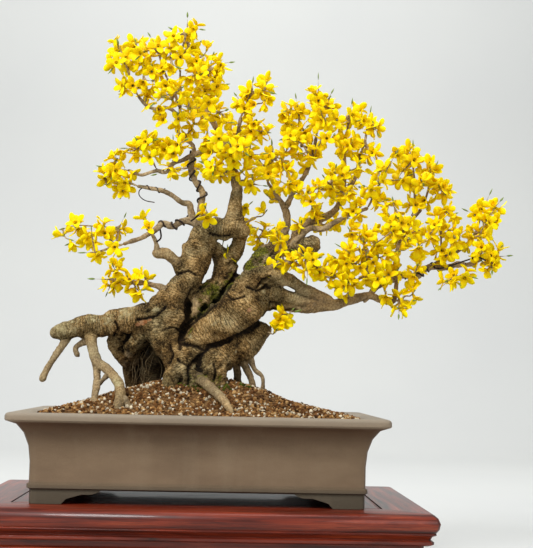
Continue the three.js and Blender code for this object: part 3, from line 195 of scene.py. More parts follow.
class Finish:
    """A material, with short ways to add the nodes that its colour and its bumps come from."""

    def __init__(self, name, **sockets):
        self.material = bpy.data.materials.new(name)
        self.material.use_nodes = True
        self.tree = self.material.node_tree
        self.shader = self.tree.nodes["Principled BSDF"]
        for socket, value in sockets.items():
            self.shader.inputs[socket.replace("_", " ")].default_value = value
        self.place = self.add("ShaderNodeTexCoord").outputs["Object"]

    def add(self, kind, inputs=(), **settings):
        node = self.tree.nodes.new(kind)
        for key, value in settings.items():
            setattr(node, key, value)
        for key, value in dict(inputs).items():
            if isinstance(value, bpy.types.NodeSocket):
                self.tree.links.new(value, node.inputs[key])
            else:
                node.inputs[key].default_value = value
        return node

    def stretched(self, x, y, z):
        """The place on the object, in steps that are this many to the metre along each axis."""
        node = self.add("ShaderNodeMapping", {"Vector": self.place})
        node.inputs["Scale"].default_value = (x, y, z)
        return node.outputs["Vector"]

    def noise(self, scale, detail=4, roughness=0.55, where=None, distortion=0):
        inputs = {"Vector": where or self.place, "Scale": scale, "Detail": detail}
        inputs |= {"Roughness": roughness, "Distortion": distortion}
        return self.add("ShaderNodeTexNoise", inputs).outputs["Fac"]

    def cells(self, scale, where=None):
        inputs = {"Vector": where or self.place, "Scale": scale}
        return self.add("ShaderNodeTexVoronoi", inputs).outputs["Distance"]

    def number(self, name):
        return self.add("ShaderNodeAttribute", attribute_name=name).outputs["Fac"]

    def colour(self, name):
        return self.add("ShaderNodeAttribute", attribute_name=name).outputs["Color"]

    def sum(self, operation, first, second=None, third=None):
        node = self.add("ShaderNodeMath", operation=operation)
        for socket, value in zip(node.inputs, (first, second, third)):
            if isinstance(value, bpy.types.NodeSocket):
                self.tree.links.new(value, socket)
            elif value is not None:
                socket.default_value = value
        return node.outputs["Value"]

    def ramp(self, value, *stops):
        """Colours, or plain numbers, at places from 0 to 1 of a value."""
        node = self.add("ShaderNodeValToRGB", {"Fac": value})
        elements = node.color_ramp.elements
        while len(elements) < len(stops):
            elements.new(0.5)
        for element, (place, shade) in zip(elements, stops):
            element.position = place
            element.color = shade if isinstance(shade, tuple) else (shade, shade, shade, 1)
        return node.outputs["Color"]

    def blend(self, share, first, second, kind="MIX"):
        node = self.add("ShaderNodeMix", data_type="RGBA", blend_type=kind)
        for index, value in ((0, share), (6, first), (7, second)):
            if isinstance(value, bpy.types.NodeSocket):
                self.tree.links.new(value, node.inputs[index])
            else:
                node.inputs[index].default_value = value
        return node.outputs[2]

    def set(self, socket, value):
        self.tree.links.new(value, self.shader.inputs[socket])

    def bump(self, height, distance, strength=1.0, under=None):
        inputs = {"Height": height, "Distance": distance, "Strength": strength}
        if under is not None:
            inputs["Normal"] = under
        return self.add("ShaderNodeBump", inputs).outputs["Normal"]


def bark_finish(name, light, middle, dark):
    """Old bark: mottled, wrinkled across the limb, with moss, lichen and healed scars, and with painted shade in its
    hollows, wrinkles and pits.
    """
    made = Finish(name, Roughness=0.88, Specular_IOR_Level=0.15)
    coarse = made.noise(38, 5, 0.6)
    fine = made.noise(380, 6, 0.7)
    tone = made.sum("ADD", made.sum("MULTIPLY", coarse, 0.5), made.sum("MULTIPLY", fine, 0.5))
    wood = made.ramp(tone, (0.4, dark), (0.49, middle), (0.59, light))
    warmth = made.ramp(made.noise(17, 4, 0.6), (0.4, paint(214, 222, 222)), (0.6, paint(250, 238, 218)))
    wood = made.blend(1.0, wood, warmth, "MULTIPLY")
    waver = made.sum("MULTIPLY_ADD", made.noise(40, 4), 13, made.sum("MULTIPLY", made.noise(170, 3), 3.4))
    wrinkles = []
    for spacing, low, high in ((0.0041, 0.3, 0.56), (0.0025, 0.4, 0.6)):
        turn = made.sum("MULTIPLY_ADD", made.number("along"), float(np.pi / spacing), waver)
        wave = made.sum("ABSOLUTE", made.sum("SINE", turn))
        line = made.ramp(wave, (0.0, 0.0), (0.16, 0.35), (0.5, 1.0))
        fade = made.ramp(made.noise(52 if spacing > 0.003 else 90, 3), (low, 0.0), (high, 1.0))
        wrinkles.append(made.blend(made.sum("MULTIPLY", fade, made.number("girth")), (1, 1, 1, 1), line))
    wrinkle = made.blend(1.0, wrinkles[0], wrinkles[1], "MULTIPLY")
    # Painted shade: the creases of the wrinkles are darkened in the colour as well as in the bumps.
    wood = made.blend(0.85, wood, wrinkle, "MULTIPLY")
    # Painted shade: the pits are darkened in the colour as well as sunk in the bumps.
    pits = made.ramp(made.noise(620, 4, 0.7), (0.36, 0.35), (0.47, 1.0))
    wood = made.blend(0.75, wood, pits, "MULTIPLY")
    weathered_tan = made.ramp(made.noise(300, 4, 0.7), (0.36, paint(128, 106, 78)), (0.6, paint(198, 174, 136)))
    wood = made.blend(made.ramp(made.number("girth"), (0.26, 0.5), (0.5, 0.0)), wood, weathered_tan)
    pale = made.ramp(made.noise(230, 5, 0.7), (0.42, paint(150, 136, 92)), (0.62, paint(208, 194, 150)))
    speckle = made.sum("ADD", made.number("lichen"), made.sum("MULTIPLY_ADD", made.noise(150, 5, 0.7), 1.7, -1.0))
    wood = made.blend(made.ramp(speckle, (0.42, 0.0), (0.72, 0.8)), wood, pale)
    healed = made.ramp(made.noise(90, 3), (0.4, paint(148, 92, 52)), (0.6, paint(196, 150, 110)))
    rim = made.sum("ADD", made.number("scar"), made.sum("MULTIPLY_ADD", made.noise(120, 3), 0.8, -0.4))
    wood = made.blend(made.ramp(rim, (0.45, 0.0), (0.6, 0.85)), wood, healed)
    green = made.ramp(made.noise(420, 4, 0.7), (0.38, paint(40, 44, 10)), (0.5, paint(96, 98, 24)), (0.64, paint(150, 146, 44)))
    tuft = made.sum("ADD", made.number("moss"), made.sum("MULTIPLY_ADD", made.noise(95, 5, 0.7), 1.5, -0.85))
    wood = made.blend(made.ramp(tuft, (0.3, 0.0), (0.56, 0.95)), wood, green)
    # Painted shade: the colour is darkened where a point is marked as lying in a hollow, a cleft or the cave.
    wood = made.blend(made.number("painted_hollow_shade"), wood, made.blend(0.95, wood, paint(48, 36, 24), "MULTIPLY"))
    made.set("Base Color", wood)
    ridges = made.sum("MULTIPLY_ADD", made.noise(900, 5, 0.7), 0.5, made.sum("MULTIPLY", wrinkle, 0.8))
    ridges = made.sum("MULTIPLY_ADD", pits, 0.3, ridges)
    relief = made.bump(ridges, 0.0016, 0.9, made.bump(made.noise(160, 5, 0.65), 0.004, 0.7))
    made.tree.links.new(relief, made.shader.inputs["Normal"])
    return made.material


def petal_finish():
    """Forsythia yellow, with a small orange-brown throat, a green foot, and a soft golden keel in each petal."""
    made = Finish("petal_yellow", Roughness=0.6, Specular_IOR_Level=0.1, Subsurface_Weight=0.3, Subsurface_Scale=0.002)
    made.shader.inputs["Subsurface Radius"].default_value = (1.0, 0.85, 0.15)
    reach = made.number("reach")
    yellow = made.ramp(
        reach, (0.0, paint(150, 150, 44)), (0.06, paint(214, 190, 30)), (0.17, paint(250, 216, 12)),
        (0.27, paint(246, 188, 0)), (0.38, paint(250, 217, 0)), (1.0, paint(252, 230, 0)),
    )
    golden = made.ramp(reach, (0.0, paint(140, 130, 36)), (0.17, paint(236, 190, 6)), (0.27, paint(230, 160, 0)), (1.0, paint(244, 205, 0)))
    keel = made.sum("MULTIPLY", made.sum("SUBTRACT", 1.0, made.number("edge")), 0.22)
    share = made.sum("MULTIPLY_ADD", made.number("tone"), 0.34, keel)
    share = made.sum("ADD", share, made.sum("MULTIPLY_ADD", made.noise(170, 3), 0.6, -0.3))
    made.set("Base Color", made.blend(share, yellow, golden))
    relief = made.bump(made.noise(1100, 3, 0.6), 0.0005, 0.5)
    made.tree.links.new(relief, made.shader.inputs["Normal"])
    return made.material


def bud_finish():
    """Leaf buds just opening: fresh green with a brownish foot."""
    made = Finish("leaf_bud_green", Roughness=0.5, Subsurface_Weight=0.1, Subsurface_Scale=0.001)
    shade = made.ramp(
        made.number("reach"), (0.0, paint(110, 92, 48)), (0.25, paint(112, 136, 44)), (1.0, paint(150, 172, 62)),
    )
    made.set("Base Color", made.blend(made.noise(700), shade, paint(92, 108, 40), "MIX"))
    made.tree.links.new(made.bump(made.noise(1500), 0.0004, 0.5), made.shader.inputs["Normal"])
    return made.material


def young_bark_finish():
    """Shoots of the last years: olive tan, dotted with pale breathing pores."""
    made = Finish("young_bark", Roughness=0.7, Specular_IOR_Level=0.3)
    tone = made.noise(260, 5, 0.6)
    wood = made.ramp(tone, (0.34, paint(100, 80, 56)), (0.5, paint(150, 128, 94)), (0.66, paint(186, 166, 128)))
    pores = made.ramp(made.cells(520), (0.08, 1.0), (0.2, 0.0))
    wood = made.blend(made.sum("MULTIPLY", pores, 0.6), wood, paint(188, 172, 140))
    made.set("Base Color", wood)
    height = made.sum("ADD", made.noise(640, 5, 0.7), made.sum("MULTIPLY", pores, 0.4))
    made.tree.links.new(made.bump(height, 0.0009, 0.8), made.shader.inputs["Normal"])
    return made.material


def clay_finish():
    """Unglazed grey-brown stoneware, finely sanded, with soft clouds, a rim lighter from wear and painted highlight,
    and painted shadow in the cove under the lip and painted shade at the foot.
    """
    made = Finish("unglazed_clay", Roughness=0.62, Specular_IOR_Level=0.3)
    cloud = made.noise(9, 5, 0.6, made.stretched(1, 1, 2.2))
    body = made.ramp(cloud, (0.32, paint(98, 78, 57)), (0.52, paint(112, 91, 68)), (0.72, paint(122, 101, 78)))
    speck = made.ramp(made.noise(900, 3, 0.7), (0.3, paint(64, 50, 38)), (0.42, paint(138, 118, 94)))
    body = made.blend(0.2, body, speck)
    height = made.add("ShaderNodeSeparateXYZ", {"Vector": made.place}).outputs["Z"]
    below = made.sum("MULTIPLY_ADD", height, -10.0, float(MIDDLE[2]) * 10)  # 0 at the rim, 1.19 at the sole
    below = made.sum("MULTIPLY_ADD", made.noise(24, 3), 0.012, below)
    # Lighter towards the top of the rim: partly wear, partly a painted highlight where the top of the rim faces the
    # light.
    worn_and_lit_rim = made.ramp(below, (0.0, 0.4), (0.05, 0.2), (0.125, 0.12), (0.14, 0.0))
    body = made.blend(worn_and_lit_rim, body, paint(168, 164, 150))
    # Painted shadow: darker just under the lip, in the cove, fading down the body.
    cove_shadow = made.ramp(below, (0.118, 0.0), (0.13, 0.95), (0.2, 0.7), (0.42, 0.12), (0.6, 0.0))
    body = made.blend(cove_shadow, body, made.blend(0.9, body, paint(150, 118, 96), "MULTIPLY"))
    # Painted shade: darker at the foot of the pot, under the body.
    foot = made.ramp(below, (0.9, 0.0), (0.93, 0.3), (0.98, 0.6), (1.0, 0.8))
    body = made.blend(foot, body, paint(66, 62, 50))
    run = made.noise(26, 5, 0.6, made.stretched(1, 1, 0.12))
    body = made.blend(made.ramp(run, (0.5, 0.0), (0.78, 0.16)), body, paint(150, 136, 112))
    made.set("Base Color", body)
    grit = made.sum("ADD", made.noise(1300, 4, 0.7), made.sum("MULTIPLY", made.noise(160, 4), 0.8))
    made.tree.links.new(made.bump(grit, 0.0006, 0.8), made.shader.inputs["Normal"])
    return made.material


def rosewood_finish():
    """Polished rosewood: red-brown with black streaks that run along each rail, and fine lines at the mitres."""
    made = Finish("rosewood", Roughness=0.4, Specular_IOR_Level=0.3, Coat_Weight=0.22, Coat_Roughness=0.06)
    split = made.add("ShaderNodeSeparateXYZ", {"Vector": made.place})
    stand_low, stand_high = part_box("stand_frame")
    middle = (stand_low + stand_high) / 2
    from_side = made.sum("ABSOLUTE", made.sum("SUBTRACT", split.outputs["X"], middle.x))
    from_side = made.sum("SUBTRACT", (stand_high.x - stand_low.x) / 2, from_side)
    from_front = made.sum("ABSOLUTE", made.sum("SUBTRACT", split.outputs["Y"], middle.y))
    from_front = made.sum("SUBTRACT", (stand_high.y - stand_low.y) / 2, from_front)
    is_side_rail = made.sum("LESS_THAN", from_side, from_front)
    tones = []
    for scale, fine in (((1.6, 26, 26), (9, 420, 420)), ((26, 1.6, 26), (420, 9, 420))):
        streak = made.noise(3.2, 8, 0.62, made.stretched(*scale), 0.6)
        tones.append((streak, made.noise(3, 4, 0.6, made.stretched(*fine))))
    streak, pores = (made.blend(is_side_rail, tones[0][k], tones[1][k]) for k in (0, 1))
    wood = made.ramp(
        streak, (0.3, paint(38, 10, 3)), (0.44, paint(90, 27, 11)), (0.58, paint(126, 44, 20)), (0.72, paint(156, 68, 34)),
    )
    wood = made.blend(made.ramp(pores, (0.36, 0.55), (0.48, 0.0)), wood, paint(30, 9, 5))
    mitre = made.sum("ABSOLUTE", made.sum("SUBTRACT", from_side, from_front))
    mitre = made.ramp(mitre, (0.0004, 0.8), (0.0009, 0.0))
    wood = made.blend(mitre, wood, paint(20, 7, 4))
    made.set("Base Color", wood)
    made.tree.links.new(made.bump(pores, 0.0003, 0.35), made.shader.inputs["Normal"])
    return made.material


def soil_finish(name, by_grain):
    """Baked clay crumbs and pumice: each grain has its own colour, dusted and pitted."""
    made = Finish(name, Roughness=0.95, Specular_IOR_Level=0.15)
    if by_grain:
        shade = made.colour("grain")
    else:
        shade = made.ramp(
            made.noise(170, 4, 0.8), (0.36, paint(58, 38, 20)), (0.5, paint(110, 76, 42)), (0.66, paint(166, 130, 84)),
        )
    dust = made.ramp(made.noise(800, 5, 0.7), (0.3, 0.62), (0.7, 1.0))
    made.set("Base Color", made.blend(1.0, shade, dust, "MULTIPLY"))
    made.tree.links.new(made.bump(made.noise(1200, 5, 0.75), 0.0014, 0.9), made.shader.inputs["Normal"])
    return made.material


def wire_finish():
    """Training wire: dark anodised aluminium, dulled and scuffed."""
    made = Finish("training_wire", Metallic=0.7)
    scuff = made.noise(330, 5, 0.7)
    shade = made.ramp(scuff, (0.35, paint(34, 27, 23)), (0.6, paint(62, 50, 42)), (0.75, paint(96, 82, 70)))
    made.set("Base Color", shade)
    made.set("Roughness", made.ramp(scuff, (0.3, 0.62), (0.7, 0.42)))
    return made.material


def screen_finish():
    """The black mesh over a drain hole."""
    made = Finish("drain_mesh", Roughness=0.55)
    made.set("Base Color", made.ramp(made.noise(240, 4), (0.35, paint(20, 22, 20)), (0.65, paint(44, 47, 43))))
    made.tree.links.new(made.bump(made.noise(700), 0.0002, 0.4), made.shader.inputs["Normal"])
    return made.material


BARK = bark_finish("old_bark", paint(208, 182, 134), paint(144, 118, 76), paint(56, 42, 20))
BRANCH_BARK = bark_finish("branch_bark", paint(214, 194, 158), paint(168, 144, 108), paint(96, 76, 52))
YOUNG_BARK = young_bark_finish()
PETAL = petal_finish()
BUD = bud_finish()
CLAY = clay_finish()
ROSEWOOD = rosewood_finish()
SOIL_BED = soil_finish("soil_bed", False)
SOIL_GRAINS = soil_finish("soil_grains", True)
WIRE = wire_finish()
DRAIN_MESH = screen_finish()


# Wood

# Stations of each limb: x, depth behind the middle plane, height above the rim, radius, in millimetres as the
# tree looks from the front. A station off the middle plane slides along the line of sight, so it keeps its place.
LIMBS = {
    "trunk": [
        (-22, 8, 24, 24), (-27, 4, 58, 25), (-41, 0, 88, 23), (-56, 0, 115, 27), (-54, 0, 140, 31),
        (-44, 0, 165, 23), (-25, 2, 188, 19), (-18, 4, 211, 21), (-10, 6, 236, 23), (-3, 6, 255, 22),
        (10, 6, 267, 17), (26, 4, 269, 15), (42, 2, 270, 14), (56, 0, 266, 10),
    ],
    "surface_root": [
        (-48, 4, 136, 26), (-84, 2, 133, 22), (-119, 0, 131, 18.5), (-143, -4, 123, 17.5),
        (-172, -8, 122, 15.5), (-200, -10, 113, 13.5), (-213, -12, 111, 9),
    ],
    "hanging_root": [
        (-195, -10, 110, 8), (-201, -10, 96, 6.5), (-218, -14, 69, 4.8), (-227, -16, 52, 4.8),
        (-230, -16, 44, 6),
    ],
    "standing_root": [
        (-163, -8, 114, 10), (-160, -20, 90, 7.6), (-153, -36, 71, 7.2), (-136, -58, 58, 6.8),
        (-121, -80, 40, 7.5), (-117, -98, 20, 8), (-121, -110, 2, 7.5), (-124, -116, -12, 5),
    ],
    "forked_root": [
        (-158, -22, 82, 6), (-153, -36, 58, 5.2), (-152, -62, 40, 5.4), (-155, -92, 14, 5),
        (-156, -102, -2, 4.6),
    ],
    "crossing_root": [
        (-133, -60, 56, 3.6), (-141, -62, 46, 3.4), (-151, -66, 36, 3.2),
    ],
    "toe_root": [
        (-117, -97, 24, 5), (-106, -108, 9, 4.2), (-98, -116, -6, 3.2),
    ],
    "hooked_stub": [
        (-164, -4, 100, 5.6), (-177, -4, 95.5, 4.7), (-185, -6, 88, 3.9), (-181, -8, 79, 4.4),
    ],
    "rear_root_flap": [
        (-121, 12, 122, 14), (-127, 20, 98, 12), (-119, 26, 80, 9.5), (-113, 30, 68, 6),
    ],
    "rear_root_ridge": [
        (-84, 14, 124, 17), (-95, 22, 100, 13.5), (-106, 28, 82, 10.5), (-112, 31, 70, 7),
    ],
    "cave_root": [
        (-54, 24, 112, 18), (-66, 34, 84, 16), (-74, 42, 56, 15), (-78, 48, 18, 13),
    ],
    "base_front": [
        (-34, -8, 88, 20), (-28, -14, 66, 21), (-16, -20, 44, 18), (-10, -22, 12, 15),
    ],
    "bulb_root": [
        (-38, -16, 62, 12), (-45, -26, 48, 12.5), (-47, -34, 38, 11), (-42, -42, 14, 8),
    ],
    "toe_front": [
        (-8, -24, 52, 8.5), (4, -46, 43, 7.6), (16, -72, 33, 7), (28, -98, 22, 6.5), (37, -116, 12, 5.5),
        (45, -126, -2, 4),
    ],
    "base_middle": [
        (0, -4, 98, 19), (14, -12, 68, 21), (18, -14, 46, 18), (16, -16, 12, 14),
    ],
    "leaning_trunk": [
        (-16, 2, 66, 24), (-5, -4, 108, 25), (14, -8, 122, 29), (34, -10, 134, 31), (57, -10, 160, 33),
        (76, -8, 184, 28), (90, -4, 198, 20),
    ],
    "right_root": [
        (14, 0, 64, 20), (40, 2, 88, 20), (64, 4, 99, 20), (82, 4, 112, 13), (92, 4, 120, 8),
    ],
    "right_leg": [
        (52, 6, 86, 10), (62, 8, 70, 6), (72, 8, 48, 5), (77, 8, 22, 5),
    ],
    "right_fine_leg": [
        (68, 10, 84, 6), (76, 6, 64, 3.6), (87, 4, 54, 2.8), (89, 4, 26, 2.6),
    ],
    "left_leg_behind": [
        (46, 16, 84, 9), (50, 20, 64, 6), (54, 24, 22, 6),
    ],
    "back_root": [
        (8, 22, 92, 17), (20, 44, 64, 13), (30, 66, 42, 10), (36, 90, 12, 7),
    ],
    "rear_left_root": [
        (-46, 22, 96, 14), (-60, 52, 62, 9), (-76, 78, 34, 7), (-88, 100, 4, 5),
    ],
    "rear_trunk": [
        (18, 18, 138, 20), (24, 26, 186, 17), (30, 26, 216, 14), (47, 22, 242, 10), (51, 16, 262, 10),
        (46, 8, 282, 11),
    ],
    "leader": [
        (34, 4, 268, 14), (41, 6, 292, 12), (43, 8, 313, 9.5), (44, 8, 333, 8.5), (38, 8, 352, 8),
        (34, 8, 372, 7), (28, 10, 391, 6.4), (16, 12, 412, 5.4), (4, 12, 430, 4.8), (-8, 10, 456, 3.6),
    ],
    "mossy_limb": [
        (56, 10, 150, 22), (72, 18, 190, 22), (84, 24, 222, 20), (98, 28, 240, 14), (110, 28, 249, 9),
    ],
    "curled_branch": [
        (68, -14, 186, 22), (92, -20, 196, 14), (110, -24, 199, 11), (124, -24, 196, 9.5),
        (140, -20, 186, 8.5), (158, -14, 178, 8), (182, -10, 168, 7),
    ],
    "low_right": [
        (68, 0, 150, 18), (92, 0, 160, 11), (116, -2, 158, 8.5), (139, -4, 155, 8), (165, -6, 157, 8),
        (189, -8, 160, 8), (206, -8, 166, 7.5), (222, -8, 170, 7), (243, -6, 176, 6), (263, -4, 168, 4.4),
        (276, -4, 167, 4.2), (281, -2, 182, 3.6), (282, 0, 197, 3.6),
    ],
    "far_right": [
        (236, -7, 168, 3.4), (254, -4, 190, 5), (272, -2, 199, 5), (294, 0, 207, 5), (311, 2, 206, 5.5),
        (326, 2, 218, 5.2), (341, 2, 221, 5), (358, 0, 220, 4.6), (371, 0, 225, 4.2), (388, -2, 225, 3.8),
        (406, -4, 233, 3),
    ],
    "far_right_rise": [
        (336, 2, 221, 4.4), (358, 6, 237, 3.6), (373, 8, 245, 3.2), (388, 8, 258, 2.6),
    ],
    "first_crown_branch": [
        (100, 28, 240, 10), (112, 26, 256, 7), (119, 24, 276, 6), (118, 22, 294, 5.6), (112, 20, 307, 4.6),
        (100, 14, 324, 3.4), (90, 8, 338, 2.6),
    ],
    "first_crown_fork": [
        (115, 21, 300, 4.6), (132, 22, 334, 4), (142, 24, 349, 3.6), (152, 22, 372, 3), (160, 16, 410, 2.2),
    ],
    "second_crown_branch": [
        (108, 28, 243, 10), (129, 20, 249, 8.5), (134, 16, 266, 7), (150, 12, 281, 6.4), (168, 10, 287, 6),
        (185, 8, 297, 5.6), (197, 6, 312, 5.2), (201, 4, 336, 4.4), (203, 4, 364, 3.6), (200, 6, 391, 2.6),
    ],
    "parallel_branch": [
        (130, 10, 247, 6.5), (137, 2, 258, 5.2), (154, -6, 273, 4.6), (171, -12, 272, 4.2),
        (189, -16, 282, 3.8), (210, -20, 294, 3.2), (236, -18, 304, 2.6),
    ],
    "round_burl": [
        (118, 20, 240, 9), (134, 12, 242, 12), (146, 8, 244, 15.5), (157, 6, 246, 11),
    ],
    "middle_rise": [
        (199, 6, 320, 3.6), (214, 10, 340, 3), (222, 12, 360, 2.6), (227, 10, 388, 2.2),
    ],
    "outer_rise": [
        (281, 0, 202, 4.4), (281, 6, 230, 3.8), (288, 8, 258, 3.4), (300, 10, 284, 3.2),
        (316, 10, 304, 2.6),
    ],
    "front_band": [
        (88, -24, 204, 6), (100, -36, 216, 3.8), (118, -42, 222, 3), (138, -46, 218, 2.4),
    ],
    "cut_branch": [
        (-34, 0, 205, 11), (-44, -2, 220, 8), (-56, -4, 229, 8.4), (-71, -6, 230, 7),
    ],
    "cut_branch_twig": [
        (-70, -6, 231, 4.5), (-72, -12, 243, 3.4), (-78, -16, 257, 2.6), (-86, -18, 266, 2.2),
    ],
    "left_low": [
        (-6, 2, 274, 7), (-26, 0, 279, 6), (-36, -2, 278, 5), (-48, -4, 270, 4.6), (-62, -4, 274, 4.4),
        (-75, -5, 264, 4.2), (-92, -6, 253, 3.4), (-118, -10, 243, 2.6),
    ],
    "left_hanging": [
        (-50, -2, 172, 7), (-66, -8, 181, 4.4), (-84, -12, 185, 3.4), (-104, -14, 187, 2.6),
    ],
    "upper_left_low": [
        (-14, 2, 270, 4), (-22, 0, 290, 5), (-25, -4, 303, 4.6), (-36, -8, 306, 4), (-58, -14, 320, 3.5),
        (-73, -16, 324, 3), (-100, -18, 328, 2.3),
    ],
    "wired_upright": [
        (-6, 6, 266, 10), (-8.5, 6, 299, 5.5), (-6.5, 6, 321, 5.2), (-17.7, 4, 338, 5), (-24, 2, 353, 4.6),
        (-23.5, 0, 369, 4.2), (-22, 2, 390, 3.6), (-44, 2, 409, 3), (-43, 0, 441, 2.6), (-43, -2, 476, 2.3),
        (-45, -2, 505, 1.9),
    ],
    "leader_left": [
        (33, 8, 376, 5), (18, 2, 383, 3.8), (0, -4, 385, 3.6), (-16, -8, 380, 3.4), (-37, -12, 369, 3.1),
        (-52, -14, 362, 2.9), (-61, -14, 350, 2.8), (-74, -14, 352, 2.6), (-98, -16, 345, 2.3),
        (-114, -18, 351, 2),
    ],
    "leader_right": [
        (32, 8, 376, 5), (41, 4, 396, 3.4), (44, 2, 415, 3), (47, 0, 434, 2.4),
    ],
    "far_left_rise": [
        (-42, 1, 432, 2.9), (-60, 4, 446, 2.6), (-80, 4, 444, 2.6), (-94, 2, 450, 2.3), (-104, 0, 461, 2.1),
    ],
    "slanting_rise": [
        (-43, -1, 448, 2.5), (-51, -8, 466, 2.2), (-62, -12, 488, 1.9),
    ],
}

# Old wood in the cleft between the trunks and at the back of the hollow, which only the finished surface shows.
LIMBS |= {
    "mossy_saddle": [(-24, 12, 122, 9), (-17, 14, 140, 14), (-4, 16, 160, 19), (14, 20, 178, 18), (34, 20, 190, 12)],
    "rear_stub": [(50, 26, 160, 16), (38, 28, 196, 16), (24, 28, 224, 15), (15, 26, 240, 10)],
    "saddle_stub": [(-2, 0, 132, 6), (-10, -2, 146, 7.5), (-14, 0, 158, 6), (-16, 4, 170, 4)],
    "hanging_plate": [(-80, 8, 130, 12), (-92, 8, 112, 14), (-102, 8, 96, 12), (-107, 10, 82, 7)],
    "root_flap": [(-119, 14, 120, 10), (-113, 18, 104, 12), (-105, 24, 88, 11), (-98, 30, 72, 8)],
    "cave_back": [(-62, 60, 112, 14), (-84, 62, 92, 17), (-86, 64, 62, 18), (-82, 62, 30, 16)],
    "cave_side": [(-112, 46, 92, 8), (-106, 52, 64, 10), (-100, 56, 34, 11)],
    "web_of_wood": [(86, -14, 178, 14), (104, -16, 176, 12), (124, -14, 170, 10), (146, -10, 166, 8), (168, -8, 163, 7)],
    "swirl": [(62, -26, 190, 12), (78, -34, 202, 11), (94, -36, 206, 10.5), (108, -32, 200, 10), (116, -28, 194, 8)],
    "right_barrel": [(14, -8, 74, 16), (44, -8, 95, 19), (68, -2, 111, 18), (82, 0, 120, 14)],
    "burl_cap": [(140, 2, 240, 12), (150, -2, 246, 15), (158, 0, 250, 12)],
}

THIN_LIMBS = (
    "crossing_root", "toe_root", "right_fine_leg", "far_right", "far_right_rise", "first_crown_fork",
    "parallel_branch", "middle_rise", "outer_rise", "front_band", "cut_branch_twig", "left_low",
    "left_hanging", "upper_left_low", "leader_left", "leader_right", "far_left_rise", "slanting_rise",
)


def placed(rows):
    """Drawn stations, in millimetres, as points in metres in the model's frame."""
    rows = np.asarray(rows, float)
    x, depth, height = rows[:, 0] * MM, rows[:, 1] * MM, rows[:, 2] * MM
    reach = 1 - depth / EYE[1]
    drawn = np.stack([EYE[0] + (x - EYE[0]) * reach, depth, EYE[2] + (height - EYE[2]) * reach], -1)
    return drawn + MIDDLE


def camera_axes():
    """Right, up and ahead, as unit vectors, of the camera that took the photograph."""
    yaw, pitch, roll = np.radians([YAW, PITCH, ROLL])
    ahead = np.array([np.sin(yaw) * np.cos(pitch), np.cos(yaw) * np.cos(pitch), np.sin(pitch)])
    level = np.array([np.cos(yaw), -np.sin(yaw), 0])
    upright = np.cross(level, ahead)
    right = np.cos(roll) * level + np.sin(roll) * upright
    up = np.cos(roll) * upright - np.sin(roll) * level
    return right, up, ahead


def seen_at(column, row, depth):
    """The point that a pixel of the photograph shows, if it lies this far behind the middle plane."""
    right, up, ahead = camera_axes()
    sideways = (column - PHOTO_WIDTH / 2) / PHOTO_FOCAL_PIXELS
    upwards = (PHOTO_HEIGHT / 2 - row) / PHOTO_FOCAL_PIXELS
    sight = ahead + sideways * right + upwards * up
    return MIDDLE + EYE + sight * (depth - EYE[1]) / sight[1]


def flowing(points, radii, step):
    """A smooth line through points, with its radii, resampled at an even step.

    Each stretch is a cubic whose end slopes come from the neighbouring points, with the fourth root of the squared
    distance as the knot spacing.
    """
    before = 2 * points[0] - points[1]
    after = 2 * points[-1] - points[-2]
    p = np.concatenate([[before], points, [after]])
    gap = np.sqrt(np.linalg.norm(np.diff(p, axis=0), axis=1))[:, None]
    d0, d1, d2 = gap[:-2], gap[1:-1], gap[2:]
    a, b, c, d = p[:-3], p[1:-2], p[2:-1], p[3:]
    slope_b = ((b - a) / d0 - (c - a) / (d0 + d1) + (c - b) / d1) * d1
    slope_c = ((c - b) / d1 - (d - b) / (d1 + d2) + (d - c) / d2) * d1
    t = np.linspace(0, 1, 24, endpoint=False)[None, :, None]
    b, c, slope_b, slope_c = b[:, None], c[:, None], slope_b[:, None], slope_c[:, None]
    curve = b + slope_b * t + (3 * c - 3 * b - 2 * slope_b - slope_c) * t**2 + (2 * b - 2 * c + slope_b + slope_c) * t**3
    curve = np.concatenate([curve.reshape(-1, 3), points[-1:]])
    station = np.linspace(0, len(points) - 1, len(curve))
    size = np.interp(station, np.arange(len(points)), radii)
    along = np.concatenate([[0], np.cumsum(np.linalg.norm(np.diff(curve, axis=0), axis=1))])
    count = max(4, int(round(along[-1] / step)) + 1)
    even = np.linspace(0, along[-1], count)
    line = np.stack([np.interp(even, along, curve[:, k]) for k in range(3)], -1)
    return line, np.interp(even, along, size), even


def limb_line(name, step=0.0025):
    rows = np.asarray(LIMBS[name], float)
    return flowing(placed(rows), rows[:, 3] * MM, step)


def limb_shape(name, step, sides):
    """A limb with flutes that wander round it and swellings along it.

    The radius is multiplied by 1 + share * (0.6 sin(3 angle + slow waves) + 0.4 cos(2 angle - slow waves)).
    """
    line, radii, along = limb_line(name, step)
    share = np.clip(0.035 + 0.0032 * radii.max() / MM, 0.04, 0.1)
    phase = 6.3 * waves(line, 0.11, len(name)) + along * 22

    def swell(row, angle):
        lobes = 0.6 * np.sin(3 * angle + phase[row]) + 0.4 * np.cos(2 * angle - 0.7 * phase[row] + 1)
        return 1 + share * lobes

    return tube(line, radii, sides, swell)


